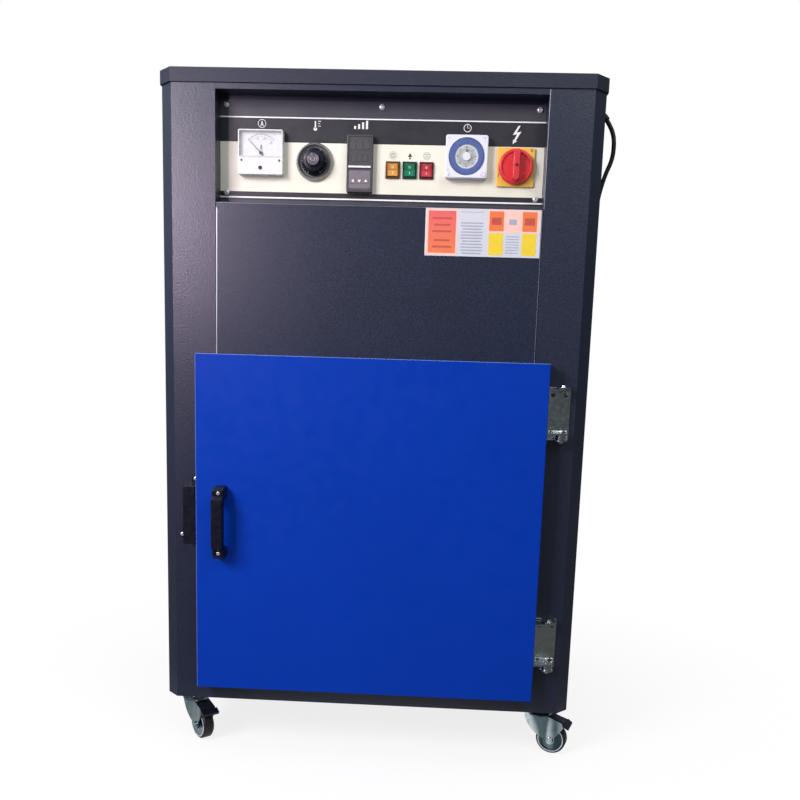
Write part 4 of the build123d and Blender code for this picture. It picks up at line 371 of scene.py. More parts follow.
slate = (0.009, 0.0124, 0.028)
finishes = {
    "hammered_paint": hammered("hammered_coat", slate, (0.016, 0.0225, 0.048)),
    "cap_paint": hammered("cap_coat", (0.023, 0.025, 0.04), (0.033, 0.036, 0.057), 0.45, 0.22),
    "cover_paint": hammered("cover_coat", slate, (0.0165, 0.0255, 0.051), 0.34, 0.44, 620, 0.35),
    "door_paint": powder_coat("door_coat", (0.0, 0.035, 0.35), 0.38, 620, 0.2, 0.13),
    "panel_paint": printed_panel(),
    "galvanized": sheet_metal("galvanized_sheet", (0.5, 0.52, 0.54), 0.38, None, 30, 0.8),
    "stainless": sheet_metal("stainless_sheet", (0.56, 0.56, 0.55), 0.3),
    "bright_zinc": plated("zinc_plate", (0.5, 0.55, 0.54), 0.2),
    "mineral_wool": wool(),
    "motor_cast": powder_coat("motor_enamel", (0.1, 0.13, 0.17), 0.4, 300, 0.4),
    "heater_sheath": sheet_metal("heat_tinted_sheath", (0.26, 0.21, 0.17), 0.42, None, 80, 0.3),
    "black_plastic": moulded("black_moulding", (0.004, 0.005, 0.012), 0.32, Specular_IOR_Level=0.25),
    "white_plastic": moulded("white_moulding", (0.72, 0.73, 0.73), 0.25),
    "grey_plastic": moulded("grey_moulding", (0.74, 0.75, 0.82), 0.32),
    "blue_plastic": moulded("blue_moulding", (0.085, 0.13, 0.33), 0.3),
    "yellow_plastic": moulded("yellow_moulding", (0.82, 0.48, 0.08), 0.3),
    "red_plastic": moulded("red_moulding", (0.64, 0.03, 0.038), 0.25),
    "dark_plastic": moulded("controller_moulding", (0.05, 0.048, 0.052), 0.4),
    "dark_chrome": moulded(
        "smoked_ring", (0.24, 0.24, 0.225), 0.16, 60, 0.15,
        Metallic=0.4, Coat_Weight=0.6, Coat_Roughness=0.08,
    ),
    "amber_lens": lens("amber_tint", (0.42, 0.15, 0.012), (0.7, 0.3, 0.05)),
    "green_lens": lens("green_tint", (0.003, 0.11, 0.045), (0.02, 0.26, 0.11)),
    "red_lens": lens("red_tint", (0.38, 0.012, 0.018), (0.62, 0.05, 0.06)),
    "clear_window": window_glass(),
    "needle_black": moulded("needle_enamel", (0.01, 0.01, 0.01), 0.5),
    "gasket_rubber": rubber("gasket_silicone", (0.07, 0.065, 0.06)),
    "tyre_rubber": rubber("wheel_rubber", (0.005, 0.006, 0.008), 0.5),
    "cord_rubber": rubber("cord_jacket", (0.009, 0.009, 0.009), 0.5),
    "print_white": moulded("white_ink", (0.78, 0.78, 0.78), 0.45),
    "print_dark": moulded("dark_ink", (0.012, 0.012, 0.014), 0.5),
    "scale_grey": moulded("scale_ink", (0.34, 0.33, 0.34), 0.4),
    "print_grey": moulded("grey_ink", (0.16, 0.16, 0.17), 0.5),
    "dim_print": moulded("unlit_segment", (0.11, 0.105, 0.11), 0.4),
    "key_grey": moulded("key_moulding", (0.17, 0.15, 0.175), 0.45),
    "amber_field": lens("amber_face", (0.66, 0.3, 0.05), (0.85, 0.45, 0.12)),
    "green_field": lens("green_face", (0.006, 0.17, 0.08), (0.03, 0.32, 0.15)),
    "red_field": lens("red_face", (0.48, 0.03, 0.045), (0.68, 0.12, 0.13)),
    "ring_blue": moulded("tappet_blue", (0.085, 0.135, 0.33), 0.35),
    "disc_grey": moulded("hour_disc", (0.42, 0.46, 0.445), 0.35),
    "turned_silver": moulded("turned_disc", (0.085, 0.078, 0.092), 0.22, 400, 0.1, Metallic=0.3),
    "dull_steel": plated("dull_screw", (0.16, 0.16, 0.17), 0.4),
    # Pale half-metal for screws and bolts; on the wheel rims and on the hinge plates' top strips and feet it
    # is a painted highlight.
    "pale_metal_and_highlight": moulded("pale_metal_and_highlight", (0.76, 0.77, 0.8), 0.22, 300, 0.1, Metallic=0.6),
    "pressed_zinc": passivated("pressed_zinc", (0.68, 0.75, 0.8), (0.1, 0.155, 0.165)),
    # The pressed zinc painted darker: painted shade on the left caster fork. The wheel discs also take this
    # darker zinc.
    "shaded_zinc": passivated("shaded_zinc", (0.16, 0.23, 0.25), (0.03, 0.06, 0.066)),
    # Zinc painted dark, a painted shade: the hinge plate screws sit in shadowed recesses.
    "shaded_screw": plated("shaded_screw", (0.14, 0.15, 0.15), 0.35),
    "card_white": moulded("card_paper", (0.6, 0.63, 0.67), 0.4),
    "card_red": red_print(),
    "card_yellow": moulded("card_yellow_ink", (0.8, 0.6, 0.03), 0.42),
    "card_orange": moulded("card_orange_ink", (0.78, 0.18, 0.05), 0.42),
    "card_pale": moulded("card_pale_ink", (0.87, 0.55, 0.47), 0.42),
    "card_grey": moulded("card_grey_ink", (0.36, 0.38, 0.47), 0.5),
    "card_dark_red": moulded("card_dark_red_ink", (0.5, 0.07, 0.05), 0.5),
    "rocker_frame": tinted_frames(),
    # Pale strips along edges, painted highlights: the cover panel's edges, the door's edges and the recess's
    # right edge.
    "worn_edge": powder_coat("worn_edge", (0.62, 0.63, 0.7), 0.4),
    "cover_edge_highlight": powder_coat("cover_edge_highlight", (0.16, 0.17, 0.2), 0.4),
    "door_edge_highlight": powder_coat("door_edge_highlight", (0.12, 0.22, 0.62), 0.4),
    "edge_highlight_metal": sheet_metal("edge_highlight_metal", (0.62, 0.65, 0.7), 0.35, None, 60, 0.2),
}

# Nodes that look different from the rest of their slot
node_finish = {
    "top_cap": "cap_paint",
    "cover_panel": "cover_paint",
    "rocker_red": "red_lens",
    "rocker_frames": "rocker_frame",
    # The left fork is painted darker than the right, a painted shade.
    "left_caster_fork": "shaded_zinc",
    "right_caster_fork": "pressed_zinc",
    "rear_caster_brackets": "pressed_zinc",
    "caster_plates": "pressed_zinc",
    "temperature_controller": "dark_plastic",
    "thermostat_bezel": "dark_chrome",
}


def dress_nodes():
    """Give every CAD node the finish of its record slot, or its own where it has one."""
    for name, node in nodes.items():
        slot = node_finish.get(name) or node.material_slots[0].material.name.split(".")[0]
        for place in node.material_slots:
            place.material = finishes[slot]


dress_nodes()


# The cord: route points repeated from the part's source, measured from the right side, the front and the base
half_body = 0.387
cord_diameter = 0.008
cord_floor = cord_diameter / 2 + 0.0002
coil_pitch = 0.0088
coil_inner = 0.032
coil_half_turns_in, coil_half_turns_out = 6, 4
coil_outer = coil_inner + coil_half_turns_in * coil_pitch / 2
cord_lane_x = half_body + 0.012
coil_centre = (cord_lane_x - coil_outer, back_y + 0.205)
coil_lead = 0.074
points_per_half_turn = 6

cord_start = (0.40502, -0.1935, 1.18762)
cord_route = [cord_start, (0.41649, -0.1935, 1.17124)] + [
    (half_body + out, front_y + back, base_z + up)
    for out, back, up in (
        (0.0341, 0.1100, 1.0543), (0.0321, 0.1100, 1.0263), (0.0208, 0.1110, 1.0000),
        (0.0100, 0.1140, 0.9550), (0.0076, 0.1303, 0.8845), (0.0078, 0.1558, 0.7855),
        (0.0083, 0.1827, 0.6865), (0.0088, 0.2128, 0.5875), (0.0092, 0.2462, 0.4897),
        (0.0096, 0.2829, 0.3943), (0.0100, 0.3248, 0.2989), (0.0104, 0.3733, 0.2082),
        (0.0108, 0.4290, 0.1223), (0.0111, 0.4951, 0.0424), (0.0114, 0.5731, -0.0244),
        (0.0117, 0.6641, -0.0709),
    )
] + [
    (cord_lane_x, 0.4615, cord_floor),
    (cord_lane_x, coil_centre[1] - cord_diameter, cord_floor),
]


def coil_points():
    """Control points of the coil: half turns that spiral in on the floor, climb once and wind out on top."""
    floor, top, half_pitch = cord_floor, cord_floor + coil_pitch, coil_pitch / 2
    turns = [(coil_outer - i * half_pitch, floor, floor) for i in range(coil_half_turns_in)]
    turns.append((coil_inner, floor, top))
    turns += [(coil_inner + i * half_pitch, top, top) for i in range(1, coil_half_turns_out + 1)]
    step = pi / points_per_half_turn
    points = []
    place_x, side = cord_lane_x, 1
    for radius, low, high in turns:
        middle = place_x - side * radius
        for i in range(points_per_half_turn):
            angle = (i + 0.5) * step
            reach = radius / cos(step / 2)
            points.append((
                middle + side * reach * cos(angle),
                coil_centre[1] + side * reach * sin(angle),
                low + (high - low) * angle / pi,
            ))
        place_x -= 2 * side * radius
        side = -side
    leads = (coil_lead / 2, coil_lead)
    return points + [(place_x, coil_centre[1] + side * lead, top) for lead in leads]


def make_cord():
    """The mains cord as one curve, from its gland in the right side down to the coil on the floor."""
    data = bpy.data.curves.new("mains_cord", "CURVE")
    data.dimensions = "3D"
    points = cord_route + coil_points()
    spline = data.splines.new("NURBS")
    spline.points.add(len(points) - 1)
    for place, point in zip(spline.points, points):
        place.co = (*point, 1)
    spline.order_u = 3
    spline.use_endpoint_u = True
    spline.resolution_u = 8
    data.bevel_depth = cord_diameter / 2
    data.bevel_resolution = 5
    data.use_fill_caps = True
    data.materials.append(finishes["cord_rubber"])
    cord = placed("mains_cord", data)
    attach(cord, "cabinet")
    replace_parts(cord, "power_cord", "cord_coil")


make_cord()


# Raised and printed details, in millimetres; print stands this far out of its face
ink_low, ink_high = 0.02, 0.14

# Centres of the instruments on the panel, X and Z
ammeter_x = -212.5
thermostat_at = (-117.5, 1089.0)
controller_x = -36.5
rocker_x = {"amber": 21.7, "green": 51.6, "red": 81.5}
timer_at = (151.0, 1101.0)
switch_at = (238.0, 1087.0)

# Faces that look to the front, by their Y
front_mm = front_y * 1000
fascia_mm = fascia_y * 1000
timer_face_mm = fascia_mm - 16
switch_plate_mm = fascia_mm - 4
door_mm = -343.5
handle_mm = -372.5

# Turning pieces stand this far off the face behind them
seat_gap = 0.3

# Hinges and casters
hinge_heights = (233.0, 660.0)
plate_wall = 2.5
caster_x, front_caster_y, rear_caster_y = 340, -256.5, 289.5

# Figures on a grid two wide and four high
figures = {
    "0": [[(0, 0), (2, 0), (2, 4), (0, 4), (0, 0)]],
    "1": [[(0.4, 3.2), (1.2, 4), (1.2, 0)]],
    "2": [[(0, 4), (2, 4), (2, 2.1), (0, 1.9), (0, 0), (2, 0)]],
    "3": [[(0, 4), (2, 4), (2, 0), (0, 0)], [(0.5, 2), (2, 2)]],
    "4": [[(0.2, 4), (0, 1.6), (2, 1.6)], [(1.5, 2.8), (1.5, 0)]],
    "5": [[(2, 4), (0, 4), (0, 2.2), (2, 2.2), (2, 0), (0, 0)]],
    "6": [[(2, 4), (0, 4), (0, 0), (2, 0), (2, 2.1), (0, 2.1)]],
    "8": [[(0, 0), (2, 0), (2, 4), (0, 4), (0, 0)], [(0, 2), (2, 2)]],
    "9": [[(0, 0), (2, 0), (2, 4), (0, 4), (0, 1.9), (2, 1.9)]],
    "A": [[(0, 0), (1, 4), (2, 0)], [(0.4, 1.4), (1.6, 1.4)]],
    "I": [[(1, 0), (1, 4)]],
}


def rectangle(a, b, width, height):
    return [
        (a - width / 2, b - height / 2), (a + width / 2, b - height / 2),
        (a + width / 2, b + height / 2), (a - width / 2, b + height / 2),
    ]


def polygon(a, b, radius, sides, start=0.0):
    return [
        (a + radius * cos(start + 2 * pi * i / sides), b + radius * sin(start + 2 * pi * i / sides))
        for i in range(sides)
    ]


def turned(a, b, u, v, degrees):
    """The point at the offset (u, v) from (a, b), with the offset turned by degrees."""
    c, s = cos(radians(degrees)), sin(radians(degrees))
    return a + u * c - v * s, b + u * s + v * c


class Relief:
    """Work on a flat face: points lie across and up the face in millimetres, heights stand out from it."""

    def __init__(self, origin, across=(1, 0, 0), up=(0, 0, 1)):
        self.origin = Vector(origin)
        self.across = Vector(across).normalized()
        self.up = Vector(up).normalized()
        self.out = self.across.cross(self.up)
        self.made = bmesh.new()

    def at(self, a, b, height):
        offset = a * self.across + b * self.up + height * self.out
        return self.made.verts.new(self.origin + offset / 1000)

    def prism(self, outline, low, high, top=None):
        """A block over an outline; a second outline of as many points gives it sloping sides."""
        foot = [self.at(a, b, low) for a, b in outline]
        head = [self.at(a, b, high) for a, b in top or outline]
        self.made.faces.new(head)
        self.made.faces.new(foot[::-1])
        for i in range(len(foot)):
            j = (i + 1) % len(foot)
            self.made.faces.new((foot[i], foot[j], head[j], head[i]))

    def bar(self, a, b, width, height, low=ink_low, high=ink_high):
        self.prism(rectangle(a, b, width, height), low, high)

    def disc(self, a, b, radius, low=ink_low, high=ink_high, segments=32):
        self.prism(polygon(a, b, radius, segments), low, high)

    def band(self, a, b, inner, outer, start=0.0, end=360.0, low=ink_low, high=ink_high):
        """An arc or a ring, angles in degrees from the across direction."""
        steps = max(2, int(abs(end - start) / 5))
        turns = [radians(start + (end - start) * i / steps) for i in range(steps + 1)]
        for first, second in zip(turns, turns[1:]):
            corners = ((inner, first), (outer, first), (outer, second), (inner, second))
            self.prism([(a + r * cos(t), b + r * sin(t)) for r, t in corners], low, high)

    def line(self, points, width, low=ink_low, high=ink_high):
        """A drawn line of that width through the points, with square ends half a width past the last ones."""
        for (a0, b0), (a1, b1) in zip(points, points[1:]):
            length = sqrt((a1 - a0) ** 2 + (b1 - b0) ** 2)
            u, v = (a1 - a0) / length * width / 2, (b1 - b0) / length * width / 2
            self.prism(
                [
                    (a0 - u + v, b0 - v - u), (a1 + u + v, b1 + v - u),
                    (a1 + u - v, b1 + v + u), (a0 - u - v, b0 - v + u),
                ],
                low, high,
            )

    def tick(self, centre, inner, outer, degrees, width, low=ink_low, high=ink_high):
        """A line of a dial, along the radius at that angle."""
        self.line([turned(*centre, radius, 0, degrees) for radius in (inner, outer)], width, low, high)

    def write(self, text, a, b, size, width, turn=0.0):
        """Plain drawn figures, centred on a point and turned by degrees."""
        step = size * 0.72
        start = -step * (len(text) - 1) / 2
        for i, sign in enumerate(text):
            for stroke in figures[sign]:
                offsets = [(start + i * step + (u - 1) * size / 4, (v - 2) * size / 4) for u, v in stroke]
                self.line([turned(a, b, x, y, turn) for x, y in offsets], width)

    def lathe(self, a, b, profile, segments=40):
        """A turned piece from (radius, height) pairs, rim first."""
        rings = []
        for radius, height in profile:
            places = polygon(a, b, radius, segments) if radius else [(a, b)]
            rings.append([self.at(p, q, height) for p, q in places])
        for low, high in zip(rings, rings[1:]):
            for i in range(segments):
                j = (i + 1) % segments
                if len(high) == 1:
                    self.made.faces.new((low[i], low[j], high[0]))
                else:
                    self.made.faces.new((low[i], low[j], high[j], high[i]))

    def screw(self, a, b, radius, height, turn, arms=4):
        """A domed head with a cross of four arms or a slot of two pressed into its flat crown."""
        crown, reach, half = radius * 0.5, radius * 0.42, radius * 0.12
        self.lathe(a, b, [
            (radius, 0), (radius, 0.35 * height), (radius * 0.93, 0.62 * height),
            (radius * 0.76, 0.85 * height), (crown, height),
        ])
        arm = [(reach, -half), (reach, half)]
        if arms == 4:
            arm.append((half, half))
        cross = [turned(a, b, u, v, turn + i * 360 / arms) for i in range(arms) for u, v in arm]
        outer = [self.at(p, q, height) for p, q in polygon(a, b, crown, 40)]
        lip = [self.at(p, q, height) for p, q in cross]
        floor = [self.at(p, q, 0.45 * height) for p, q in cross]
        edges = []
        for loop in (outer, lip):
            edges += [self.made.edges.new((loop[i], loop[(i + 1) % len(loop)])) for i in range(len(loop))]
        bmesh.ops.triangle_fill(self.made, use_beauty=True, edges=edges)
        self.made.faces.new(floor)
        for i in range(len(lip)):
            j = (i + 1) % len(lip)
            self.made.faces.new((lip[i], lip[j], floor[j], floor[i]))

    def piece(self, name, finish, body="cabinet", smooth=None):
        """Close the work as one piece on a body, smooth up to an angle in degrees where one is given."""
        bmesh.ops.remove_doubles(self.made, verts=self.made.verts, dist=1e-7)
        bmesh.ops.recalc_face_normals(self.made, faces=self.made.faces)
        mesh = bpy.data.meshes.new(name)
        self.made.to_mesh(mesh)
        self.made.free()
        mesh.materials.append(finishes[finish])
        made = placed(name, mesh)
        if smooth:
            mesh.shade_smooth()
            mesh.set_sharp_from_angle(angle=radians(smooth))
        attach(made, body)
        return made


def facing(y_mm):
    """Work on a face that looks to the front; points are then X and Z of the frame."""
    return Relief((0, y_mm / 1000, 0))


def print_signs():
    """White signs in place of the words over the instruments: meter, thermometer, bars, clock and flash."""
    work = facing(fascia_mm)
    work.write("A", ammeter_x, 1152.5, 8, 1.1)
    work.band(ammeter_x, 1152.5, 6.4, 7.2)
    stem_x = thermostat_at[0]
    work.line([(stem_x, 1146), (stem_x, 1157)], 2.2)
    work.disc(stem_x, 1145, 3.1)
    for z, reach in ((1150, 9.5), (1154, 8), (1158, 9.5)):
        work.line([(stem_x + 5, z), (stem_x + reach, z)], 0.9)
    for i in range(4):
        work.bar(controller_x - 10.5 + 7 * i, 1149 + 1.5 * i, 3.6, 5 + 3 * i)
    x, z = timer_at[0], 1151.5
    work.band(x, z, 5.8, 6.8)
    work.line([(x, z + 4), (x, z), (x + 3, z)], 1.0)
    flash = [
        (243.5, 1157), (237, 1145.5), (245.5, 1147.5), (236.2, 1132.6), (238.5, 1131.5), (231, 1126.5),
        (231.5, 1134), (233.5, 1133.5), (238, 1143), (230.5, 1141.5), (240, 1157),
    ]
    work.prism(flash, ink_low, 0.16)
    work.piece("fascia_print", "print_white")


def print_rocker_signs():
    """Dark signs over the rockers: a power mark, an arrow and three bars, the outer two in rings."""
    sign_z = 1103.5
    work = facing(fascia_mm)
    x = rocker_x["amber"]
    work.band(x, sign_z, 3.2, 4.0)
    work.line([(x, 1106), (x, 1101.8)], 0.7)
    x = rocker_x["green"]
    arrow = [(x + 4.6 * cos(t), sign_z + 4.6 * sin(t)) for t in (pi / 2, pi * 1.17, pi * 1.83)]
    work.prism(arrow, ink_low, ink_high)
    work.disc(x, 1098.8, 1.6)
    x = rocker_x["red"]
    for i in range(3):
        work.line([(x - 4.5, 1100.4 + 3.1 * i), (x + 4.5, 1100.4 + 3.1 * i)], 0.7)
    for x in (rocker_x["amber"], rocker_x["red"]):
        work.band(x, sign_z, 6.1, 6.5)
    work.piece("switch_marks", "print_dark")


def fit_panel():
    """The panel's screws, and a pale metal strip at the recess's right edge, a painted highlight along the
    fold.
    """
    work = facing(fascia_mm)
    places = ((-276.0, 1183.5), (0, 1183.5), (276.0, 1183.5), (-276.0, 1034.0), (276.0, 1034.0))
    for i, place in enumerate(places):
        work.screw(*place, 5.2, 3.0, 15 + 25 * i)
    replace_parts(work.piece("panel_screws", "pale_metal_and_highlight", smooth=35), "fascia_screws")
    work = facing(front_mm)
    # Pale metal strip: a painted highlight along the recess's right edge.
    work.bar(288.1, 1109.5, 1.1, 195, 0.0, 0.2)
    work.piece("recess_edge_highlight", "edge_highlight_metal")


def dress_ammeter():
    """Scale and unit behind the window; zero adjuster, screws and seam on the case."""
    pivot = (ammeter_x, 1100.94)
    dial_mm, case_mm = fascia_mm - 7, fascia_mm - 15
    work = facing(dial_mm)
    work.band(*pivot, 31.2, 31.7, 42, 138)
    work.band(*pivot, 28.2, 28.5, 45, 135)
    for i in range(31):
        long = i % 5 == 0
        work.tick(pivot, 31.2, 33.6 if long else 32.7, 135 - 3 * i, 0.55 if long else 0.3)
    for i in range(0, 7, 2):
        work.write(str(5 * i), *turned(*pivot, 25, 0, 135 - 15 * i), 3.2, 0.4, 45 - 15 * i)
    work.piece("ammeter_scale", "print_grey")
    work = facing(dial_mm)
    work.write("A", ammeter_x, 1112, 6.5, 1.1)
    work.line([(ammeter_x - 2.6, 1106.6), (ammeter_x + 2.6, 1106.6)], 0.8)
    work.piece("ammeter_unit", "print_dark")

    work = facing(case_mm)
    work.disc(ammeter_x, 1075, 3.3, 0, 1.0, 40)
    work.lathe(ammeter_x, 1075, [(2.9, 1.0), (2.4, 1.5), (0, 1.5)])
    work.piece("zero_adjuster", "print_dark")
    work = facing(case_mm)
    for x in (ammeter_x - 33.6, ammeter_x + 33.6):
        work.screw(x, 1087.5, 2.1, 0.8, 20, arms=2)
    work.piece("ammeter_screws", "dull_steel", smooth=30)
    work = facing(case_mm)
    for z, width in ((1094.0, 0.5), (1092.6, 0.35)):
        work.line([(ammeter_x - 37.4, z), (ammeter_x + 37.4, z)], width)
    work.piece("ammeter_seam", "print_grey")


def dress_thermostat():
    """A turned metal disc with a mark on the hub, and degree marks down the skirt."""
    x, z = thermostat_at
    knob_top, mark_top, skirt_top = 27, 27.4, 9.7
    disc_top, groove_floor = 0.35, 0.22
    work = facing(fascia_mm - knob_top)
    profile = [(10.9, 0.0), (10.6, disc_top)]
    for i in range(6):
        radius = 10.0 - 1.7 * i
        profile += [(radius, disc_top), (radius - 0.5, groove_floor), (radius - 0.9, disc_top)]
    work.lathe(x, z, profile + [(0, disc_top)], 48)
    work.piece("hub_disc", "turned_silver", "thermostat", 25)
    work = facing(fascia_mm - mark_top)
    work.line([(x - 3.2, z + 9.4), (x - 1.4, z + 5.4)], 1.0)
    work.band(x, z, 3.2, 3.8)
    work.band(x, z, 7.2, 7.6)
    work.piece("hub_mark", "scale_grey", "thermostat")
    work = facing(fascia_mm - skirt_top)
    for i in range(26):
        long = i % 5 == 0
        work.tick(thermostat_at, 20.6 if long else 21.6, 22.6, 240 - 12 * i, 0.9 if long else 0.5, -1.4, 0.05)
    work.piece("knob_scale", "scale_grey", "thermostat")


def dress_controller():
    """Unlit segments in the digit windows, the keys and their signs, a status lamp and a white rule."""
    face_mm = fascia_mm - 12
    sunk_mm = face_mm + 1.2
    window_height, key_height = 0.4, 0.9
    work = facing(sunk_mm - window_height)
    for z, pitch, wide, high, width in ((1117, 12, 2.7, 2.9, 0.9), (1095.2, 10, 2.0, 2.0, 0.7)):
        for x in (-pitch, 0, pitch):
            for stroke in figures["8"]:
                work.line([(controller_x + x + (u - 1) * wide, z + (v - 2) * high) for u, v in stroke], width)
    work.piece("dim_segments", "dim_print")
    work = facing(sunk_mm)
    work.bar(controller_x, 1059.5, 38, 30, 0, 0.25)
    for x in (controller_x - 11.5, controller_x, controller_x + 11.5):
        work.prism(rectangle(x, 1057, 9.8, 9.8), 0.2, key_height, rectangle(x, 1057, 8.4, 8.4))
    work.bar(controller_x, 1045.8, 32, 1.1, 0, 0.4)
    work.bar(controller_x, 1043.2, 32, 0.8, 0, 0.4)
    work.piece("controller_keys", "key_grey")
    work = facing(sunk_mm - key_height)
    for arrow in (
        ((-14.2, 1057), (-9.8, 1054), (-9.8, 1060)),
        ((0, 1053.9), (3, 1058.6), (-3, 1058.6)),
        ((11.5, 1060.1), (8.5, 1055.4), (14.5, 1055.4)),
    ):
        work.prism([(controller_x + x, z) for x, z in arrow], ink_low, 0.16)
    work.piece("key_signs", "print_white")
    work = facing(sunk_mm)
    work.lathe(controller_x, 1071.5, [(1.5, 0), (1.3, 0.5), (0.7, 0.9), (0, 1.0)], 24)
    work.piece("status_lamp", "key_grey", smooth=40)
    work = facing(face_mm)
    work.bar(controller_x, 1080.8, 39.5, 3.0, ink_low, 0.3)
    work.piece("controller_rule", "print_white")


def dress_rockers():
    """An inner field with a ring or a bar on each half of a rocker cap, which turns with it."""
    tilt = Matrix.Rotation(radians(8.0), 3, "X")
    cap_radius, cap_reach, valley_reach = 11.3, 5.0, 3.4
    half = sqrt(cap_radius**2 - cap_reach**2)
    uphill = cap_reach - valley_reach
    pivot_mm, pivot_z = fascia_mm - 1.5, 1078.5
    for name, x in rocker_x.items():
        valley = Vector((x, pivot_mm, pivot_z)) + tilt @ Vector((0, -valley_reach, 0))
        for part, side in (("upper", 1), ("lower", -1)):
            field = Relief(valley / 1000, (side, 0, 0), tilt @ Vector((0, -uphill, side * half)))
            field.prism(rectangle(0, 5.2, 15.4, 9.4), 0.0, 0.3, rectangle(0, 5.2, 14.6, 8.6))
            field.piece(f"{name}_{part}_field", f"{name}_field", f"{name}_rocker")
            sign = Relief(field.origin + field.out * 0.0003, field.across, field.up)
            if side > 0:
                sign.band(0, 5.0, 1.3, 1.9)
            else:
                sign.bar(0, 5.0, 0.8, 3.8)
            sign.piece(f"{name}_{part}_sign", "print_white", f"{name}_rocker")


def dress_timer_ring():
    """Hour marks and a grey disc round the hub, an arrow on it and a blue cap on every tappet."""
    recess, ring_plate, hub_plate, hub_boss, tappet_top = 6, 2.5, 1.2, 3, 5.1
    ring_mm = timer_face_mm + recess - seat_gap
    hub_mm = ring_mm - ring_plate - hub_plate
    x, z = timer_at
    marks, step = 48, 7.5
    work = facing(hub_mm)
    for i in range(marks):
        work.tick(timer_at, 19.2 if i % 2 else 18.4, 20.0, 90 - step * i, 0.5)
    for hour in range(0, 24, 3):
        work.write(str(hour or 24), *turned(x, z, 15.6, 0, 90 - 15 * hour), 3.0, 0.42, -15 * hour)
    work.band(x, z, 11.6, 12.0)
    work.piece("hour_marks", "print_dark", "timer_ring")
    work = facing(hub_mm)
    work.band(x, z, 7.1, 17.5, low=0, high=0.06)
    work.piece("hour_disc", "disc_grey", "timer_ring")
    work = facing(hub_mm - hub_boss)
    work.prism([(x - 1.5, z + 7), (x + 1.5, z + 7), (x, z + 12)], ink_low, ink_high)
    work.piece("hub_arrow", "print_dark", "timer_ring")
    work = facing(ring_mm - tappet_top)
    foot = ((22.6, -1.0), (28.4, -1.25), (28.4, 1.25), (22.6, 1.0))
    head = ((23.0, -0.7), (28.0, -0.9), (28.0, 0.9), (23.0, 0.7))
    for i in range(marks):
        low, high = ([turned(x, z, r, w, 90 - step * i) for r, w in outline] for outline in (foot, head))
        work.prism(low, 0.0, 0.35, high)
    work.piece("tappet_caps", "ring_blue", "timer_ring")


def print_timer_case():
    """Small marks in the corners of the timer's case."""
    work = facing(timer_face_mm)
    work.write("0", 182.2, 1130.5, 2.4, 0.35)
    work.write("1", 182.2, 1125.5, 2.4, 0.35)
    for low_x, high_x, z in ((177.5, 185.0, 1132.5), (117.5, 123, 1132.0)):
        work.line([(low_x, z), (high_x, z)], 0.4)
    work.band(182.0, 1071.0, 3.4, 3.8, -60, 240)
    work.write("I", 176.5, 1069.5, 2.6, 0.4)
    for low_x, high_x, z in ((117, 121, 1079), (117, 119.5, 1076.5)):
        work.line([(low_x, z), (high_x, z)], 0.4)
    work.piece("timer_case_marks", "print_grey")


def dress_main_switch():
    """Marks of the two positions on the plate, and a black screw plug in the grip."""
    x, z = switch_at
    work = facing(switch_plate_mm)
    work.write("I", x - 29.6, z - 14, 5, 1.0)
    work.write("0", x + 27, z + 28.2, 4, 0.8)
    work.piece("switch_positions", "print_dark")
    knob_base, grip_height, plug_depth = 9, 17, 3.0
    work = facing(switch_plate_mm - seat_gap - knob_base - grip_height + plug_depth)
    work.lathe(x, z, [(2.1, 0), (2.1, 1.6), (1.5, 2.1), (0, 2.1)], 28)
    work.piece("grip_plug", "print_dark", "main_switch", 30)


def stick_card():
    """A plain colour card on the cover panel: blank fields and lines in place of any words."""
    card_z, orange_z, yellow_z = 970, 990, 951.5
    left_x, middle_x, right_x = 207.5, 236, 265
    white_lines = [(165, 1004.5, 40, 1.0)]
    white_lines += [(165, 935 + 5.1 * i, 38 - 5 * (i % 4 == 0), 2.2) for i in range(11)]
    white_lines += [(middle_x, 937 + 4.6 * i, 23, 1.5) for i in range(7)]
    red_lines = [(113, z, 34 - 6 * (i % 2), 3.0) for i, z in enumerate((993, 982, 971, 956, 945))]
    red_lines += [(x, orange_z, 17, 12) for x in (left_x, right_x)]
    for name, finish, low, fields in (
        ("colour_card", "card_white", 0.02, [(184, card_z, 201, 81)]),
        ("card_borders", "card_pale", 0.12, [(112.5, card_z, 55, 78), (237.5, orange_z, 90, 38)]),
        ("card_red_field", "card_red", 0.22, [(113, card_z, 48, 71)]),
        ("card_orange_fields", "card_orange", 0.22, [(x, orange_z, 25, 33) for x in (left_x, right_x)]),
        ("card_yellow_fields", "card_yellow", 0.22, [(x, yellow_z, 25, 37) for x in (left_x, right_x)]),
        ("card_red_lines", "card_dark_red", 0.32, red_lines),
        ("card_grey_lines", "card_grey", 0.22, white_lines + [(middle_x, 989, 13, 9)]),
    ):
        work = facing(front_mm)
        for field in fields:
            work.bar(*field, low, low + 0.1)
        work.piece(name, finish)


def mark_cover_edges():
    """Painted highlights: pale strips along the cover panel's right and top edges, and a brighter one down
    its left edge.
    """
    work = facing(front_mm)
    # Painted highlights along the right and top edges of the cover panel.
    work.bar(286.0, 872, 0.8, 276, 0.0, 0.12)
    work.bar(0, 1010.4, 572, 0.7, 0.0, 0.12)
    work.piece("cover_edge_highlights", "cover_edge_highlight")
    work = facing(front_mm)
    # Painted highlight down the cover panel's left edge.
    work.prism([(-286.2, 1004), (-286.2, 740), (-285.4, 740), (-284.0, 1000)], 0.0, 0.12)
    work.piece("cover_left_edge_highlight", "worn_edge")


def dress_door():
    """Painted highlights along the door's top and left edges, and the screws of its handle."""
    work = facing(door_mm)
    # Pale blue strips along the top and left edges: painted highlights.
    work.bar(-2, 747.5, 624, 0.9, 0.0, 0.12)
    work.bar(-314.6, 439, 0.7, 616, 0.0, 0.12)
    work.piece("door_edge_highlights", "door_edge_highlight", "door")
    counterbore = 5
    work = facing(handle_mm + counterbore)
    for z in (393.0, 503.0):
        work.screw(-268, z, 4.1, 3.4, 25)
    work.piece("handle_screws", "pale_metal_and_highlight", "door", 35)


